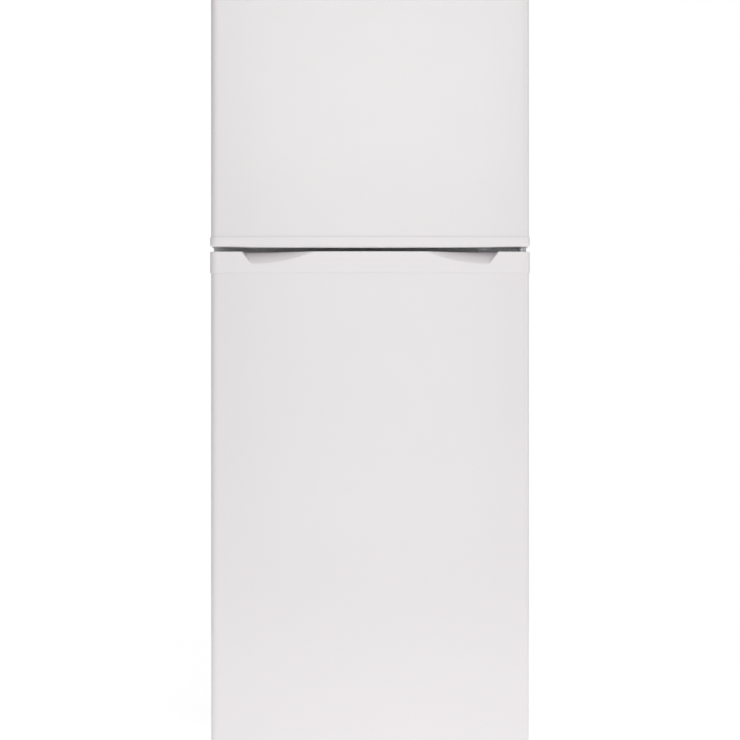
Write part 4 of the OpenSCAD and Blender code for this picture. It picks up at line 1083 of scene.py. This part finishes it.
@dataclass
class Underside:
    """Feet that screw up and down, and rollers at the back.

    Attributes:
        pitch: pitch of a stud's thread.
        thread: depth of its thread.
        flutes: finger flutes round a foot's pad.
        bore: radius of the hole in a roller.
    """

    pitch: float = 0.0015
    thread: float = 0.0006
    flutes: int = 16
    bore: float = 0.0032

    def build(self) -> None:
        """Turns feet and rollers."""
        for side in ("left", "right"):
            self.build_foot(f"{side}_foot")
            self.build_roller(f"{side}_roller")
        dress(STEEL, "roller_axles")
        dress(ZINC, "roller_brackets")

    def build_foot(self, node: str) -> None:
        """Fluted pad and ringed stud, both turned about the foot's axis.

        Args:
            node: the foot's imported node, which is also its body.
        """
        box = Span.of(node)
        x, y = (box.x0 + box.x1) / 2, (box.y0 + box.y1) / 2
        pad = np.array([(0, 0), (0.0135, 0), (0.0153, 0.0007), (0.016, 0.0022), (0.016, 0.0058),
                        (0.0152, 0.0074), (0.0135, 0.008), (0.0095, 0.008), (0.0086, 0.0088),
                        (0.0058, 0.0094), (0, 0.0094)])
        turns = np.arange(0.0085, box.z1 - 0.002, self.pitch)
        rows = [(0.004 - self.thread, z) for z in turns]
        crest = [(0.004, z + self.pitch / 2) for z in turns]
        thread = np.array([p for pair in zip(rows, crest) for p in pair])
        stud = np.vstack([[[0, 0.008]], thread, [[0.0032, box.z1 - 0.0006]], [[0.0026, box.z1]], [[0, box.z1]]])
        shell = lathe(pad, 96, self.flutes, 0.0011) + lathe(stud, 24)
        make_piece(f"{node}_turned", shell.moved(x, y), BLACK_PLASTIC, node, (node,), 30)

    def build_roller(self, node: str) -> None:
        """Crowned tyre with a hub, turned about the axle and open round it.

        Args:
            node: the roller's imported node, which is also its body.
        """
        box = Span.of(node)
        r, half = (box.z1 - box.z0) / 2, (box.x1 - box.x0) / 2
        side = [(self.bore, half), (0.0062, half), (0.0068, half - 0.0006), (0.0072, half - 0.0022),
                (r - 0.0045, half - 0.0022), (r - 0.0038, half - 0.0008), (r - 0.002, half - 0.0004),
                (r - 0.0008, half - 0.0018), (r, half * 0.45)]
        profile = np.array([(a, -b) for a, b in side] + [(a, b) for a, b in side[::-1]])
        a = np.linspace(0, 2 * math.pi, 64, endpoint=False)
        loops = np.stack([np.broadcast_to(profile[:, 1:], (len(profile), 64)) + (box.x0 + box.x1) / 2,
                          (box.y0 + box.y1) / 2 + profile[:, :1] * np.cos(a),
                          (box.z0 + box.z1) / 2 + profile[:, :1] * np.sin(a)], -1)
        make_piece(f"{node}_crowned", hoop(loops), BLACK_PLASTIC, node, (node,), 30)


@dataclass
class MachineSpace:
    """Compressor, pipes, condenser and drain at the back.

    Attributes:
        pan_wall: thickness of the drain pan.
        pan_corner: radius of its corners.
    """

    pan_wall: float = 0.0024
    pan_corner: float = 0.012

    def build(self) -> None:
        """Builds the pan and dresses the rest."""
        pan = Span.of("drain_pan")
        line = rounded_rect(pan.x0, pan.y0, pan.x1, pan.y1, self.pan_corner, 8)
        shell = tub(line, pan.z0, pan.z1, self.pan_wall, self.pan_wall, foot=0.004, lip=0.004)
        make_piece("drain_pan_moulded", shell, BLACK_PLASTIC, "cabinet", ("drain_pan",))
        dress(BLACK_PAINT, "compressor", "condenser_tube", "condenser_wires")
        dress(BLACK_RUBBER, "compressor_grommets", "cord_gland")
        dress(BLACK_PLASTIC, "relay_cover", "condenser_clips")
        dress(COPPER, "refrigerant_pipes", "filter_drier")
        dress(ZINC, "compressor_plate")
        dress(GREY_PLASTIC, "drain_hose")


@dataclass
class FreshFoodSpace:
    """Shelves, drawers and the control housing of the lower space.

    Attributes:
        shelf_levels: undersides of the glass shelves.
        glass: thickness of the glass.
        drawer_wall: thickness of a drawer.
    """

    shelf_levels: tuple[float, ...] = (0.280, 0.489, 0.698)
    glass: float = 0.004
    drawer_wall: float = 0.0025

    def build(self) -> None:
        """Builds glass, drawers and dial, and dresses the rest."""
        self.build_shelves()
        for side, sign in (("left", -1.0), ("right", 1.0)):
            self.build_drawer(f"{side}_crisper", sign)
        self.build_dial()
        dress(WHITE_PLASTIC, "shelf_trims", "control_housing", "light_switch_plunger")
        dress(CLEAR_PLASTIC, "lamp_cover")

    def build_shelves(self) -> None:
        """Glass sheets with ground edges: rounded rectangles with rounded rims."""
        box = Span.of("shelf_glass")
        line = rounded_rect(box.x0, box.y0, box.x1, box.y1, 0.003, 5)
        sheet = plate(line, 0.0, self.glass, 0.0009, 0.0009, 4)
        shell = sheet.copies(np.array([(0.0, 0.0, z) for z in self.shelf_levels]))
        make_piece("shelf_glass_ground", shell, SHELF_GLASS, "cabinet", ("shelf_glass",))

    def build_drawer(self, node: str, sign: float) -> None:
        """Clear drawer: a tub with a rim flange and a finger pull across its front.

        Args:
            node: the drawer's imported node, which is also its body.
            sign: -1 for the left side, 1 for the right.
        """
        box = Span.of(node)
        front = box.y0 + 0.011
        line = rounded_rect(box.x0, front, box.x1, box.y1, 0.012, 8)
        wall = self.drawer_wall
        shell = tub(line, box.z0, box.z1, wall, wall, foot=0.006, lip=0.003, lip_out=0.003)
        low, high = sorted((sign * 0.0415, sign * 0.195))
        u = np.linspace(0, 1, 25)
        bow = box.y0 + 0.0045 + 0.006 * (2 * u - 1) ** 4
        path = np.column_stack([low + (high - low) * u, bow, np.full(25, box.z0 + 0.1482)])
        fat = 0.0045 * (1 - 0.35 * (2 * u - 1) ** 6)
        make_piece(f"{node}_clear", shell + tube(path, fat, 16), CLEAR_PLASTIC, node, (node,))

    def build_dial(self) -> None:
        """Temperature dial: a knurled knob with a pointer bar, turned about Y."""
        box = Span.of("temperature_dial")
        x, z = (box.x0 + box.x1) / 2, (box.z0 + box.z1) / 2
        knob = np.array([(0, 0.0125), (0.0095, 0.0125), (0.0135, 0.0121), (0.0165, 0.011), (0.0178, 0.009),
                         (0.018, 0.007), (0.018, 0.002), (0.0176, 0.0006), (0.0168, 0), (0.004, 0),
                         (0.004, -0.0125), (0, -0.0125)])
        shell = lathe(knob, 120, 30, 0.0007)
        shell.points[:, 2] *= -1
        face = box.y0 + 0.0165
        shell = Shell(shell.points[:, [0, 2, 1]], shell.quads, shell.ends)
        shell += block(-0.0016, -0.0150, -0.0155, 0.0016, -0.004, 0.0155, 0.0008)
        shell = shell.moved(x, face, z)
        shell.points[:, 1] = np.maximum(shell.points[:, 1], box.y0)
        make_piece("temperature_dial_knurled", shell, GREY_PLASTIC, "temperature_dial",
                   ("temperature_dial",), 30)


@dataclass
class FreezerSpace:
    """Fittings of the upper space."""

    def build(self) -> None:
        """Dresses the fittings."""
        dress(COATED_WIRE, "freezer_shelf")
        dress(WHITE_PLASTIC, "evaporator_cover", "fan_blade")
        dress(ALUMINIUM, "evaporator")
        dress(ZINC, "fan_motor")
        dress(GREY_PLASTIC, "freezer_airflow_knob")


# ---------------------------------------------------------------- studio

@dataclass
class Studio:
    """White studio: bright surroundings, a large soft light at the front right and one above.

    Attributes:
        eye: the camera's place.
        lens: focal length in millimetres on a 36 mm sensor.
        surround: light of the surroundings at the left and at the right.
        key: watts of the front light.
        sky: watts of the top light.
        side: watts of the light at the right.
        fill: watts of the light straight ahead.
    """

    eye: tuple[float, float, float] = (0.0, -4.33, 0.766)
    lens: float = 105.0
    surround: tuple[float, float] = (0.23, 0.47)
    key: float = 41.0
    sky: float = 12.0
    side: float = 10.0
    fill: float = 17.5

    def build(self) -> None:
        """Sets the view, the surroundings, the floor, the lights and the camera."""
        scene = bpy.context.scene
        scene.view_settings.view_transform = "Standard"
        scene.view_settings.look = "None"
        self.build_world(scene)
        self.build_floor()
        self.build_light("front_light", (-0.02, -3.8, 2.6), (0.0, -0.3, 1.25), 2.4, self.key)
        self.build_light("fill_light", (0.05, -4.7, 1.1), (0.0, -0.3, 0.95), 2.0, self.fill)
        self.build_light("side_light", (3.4, -0.9, 1.3), (0.0, -0.2, 0.8), 1.8, self.side)
        self.build_light("top_light", (0.2, -1.0, 3.4), (0.0, 0.0, 0.8), 2.6, self.sky)
        self.build_camera(scene)

    def build_world(self, scene: bpy.types.Scene) -> None:
        """Pure white behind the object; as light on it a softer white that grows from left to right.

        Args:
            scene: the scene that it surrounds.
        """
        world = bpy.data.worlds.new("studio_surround")
        world.use_nodes = True
        tree = world.node_tree
        back = tree.nodes["Background"]
        back.inputs["Color"].default_value = (1.0, 1.0, 1.0, 1.0)
        ray = tree.nodes.new("ShaderNodeLightPath")
        pick = tree.nodes.new("ShaderNodeMapRange")
        way = tree.nodes.new("ShaderNodeSeparateXYZ")
        tree.links.new(tree.nodes.new("ShaderNodeTexCoord").outputs["Generated"], way.inputs["Vector"])
        side = tree.nodes.new("ShaderNodeMapRange")
        for name, number in (("From Min", -1.0), ("To Min", self.surround[0]), ("To Max", self.surround[1])):
            side.inputs[name].default_value = number
        tree.links.new(way.outputs["X"], side.inputs["Value"])
        tree.links.new(side.outputs["Result"], pick.inputs["To Min"])
        pick.inputs["To Max"].default_value = 1.0
        tree.links.new(ray.outputs["Is Camera Ray"], pick.inputs["Value"])
        tree.links.new(pick.outputs["Result"], back.inputs["Strength"])
        scene.world = world

    def build_floor(self) -> None:
        """Pale floor that glows a little, so that it meets the white behind it without a line."""
        rim = rounded_rect(-2.2, -2.6, 2.2, 1.8, 0.4, 12)
        mesh = bpy.data.meshes.new("studio_floor")
        mesh.from_pydata(lift(rim, 0.0).tolist(), [], [list(range(len(rim)))])
        mat = bpy.data.materials.new("studio_floor")
        mat.use_nodes = True
        shader = mat.node_tree.nodes["Principled BSDF"]
        shader.inputs["Base Color"].default_value = (0.64, 0.64, 0.64, 1.0)
        shader.inputs["Roughness"].default_value = 0.6
        shader.inputs["Emission Color"].default_value = (1.0, 1.0, 1.0, 1.0)
        shader.inputs["Emission Strength"].default_value = 0.72
        mesh.materials.append(mat)
        floor = bpy.data.objects.new("studio_floor", mesh)
        bpy.context.scene.collection.objects.link(floor)

    @staticmethod
    def build_light(name: str, place: tuple[float, float, float], target: tuple[float, float, float],
                    size: float, power: float) -> None:
        """Adds a square soft light.

        Args:
            name: its name.
            place: where it stands.
            target: the point that it faces.
            size: its side, in metres.
            power: its power, in watts.
        """
        lamp = bpy.data.lights.new(name, "AREA")
        lamp.size = size
        lamp.energy = power
        light = bpy.data.objects.new(name, lamp)
        way = Vector(target) - Vector(place)
        light.location = place
        light.rotation_euler = way.to_track_quat("-Z", "Y").to_euler()
        bpy.context.scene.collection.objects.link(light)

    def build_camera(self, scene: bpy.types.Scene) -> None:
        """Level camera straight before the doors.

        Args:
            scene: the scene that it looks at.
        """
        data = bpy.data.cameras.new("camera")
        data.lens = self.lens
        data.sensor_width = 36.0
        camera = bpy.data.objects.new("camera", data)
        camera.location = self.eye
        camera.rotation_euler = (math.pi / 2, 0.0, 0.0)
        scene.collection.objects.link(camera)
        scene.camera = camera


def main() -> None:
    """Builds the refrigerator, sub-assembly by sub-assembly, and its studio."""
    Studio().build()
    FridgeDoor("fridge_door", {"fridge_door_bottle_bin": ((0.120, 0.112),),
                               "fridge_door_bins": ((0.420, 0.074), (0.615, 0.074), (0.810, 0.074))},
               0.2114, -0.162, (0.238, 0.078, 0.944)).build()
    FreezerDoor("freezer_door", {"freezer_door_bins": ((1.079, 0.060), (1.257, 0.060))},
                0.2034, -0.184, (0.230, 1.037, 1.442)).build()
    for part in (Cabinet(), Underside(), MachineSpace(), FreshFoodSpace(), FreezerSpace()):
        part.build()


if __name__ == "__main__":
    logging.basicConfig(level=logging.INFO, format="%(name)s: %(message)s", stream=sys.stdout)
    main()
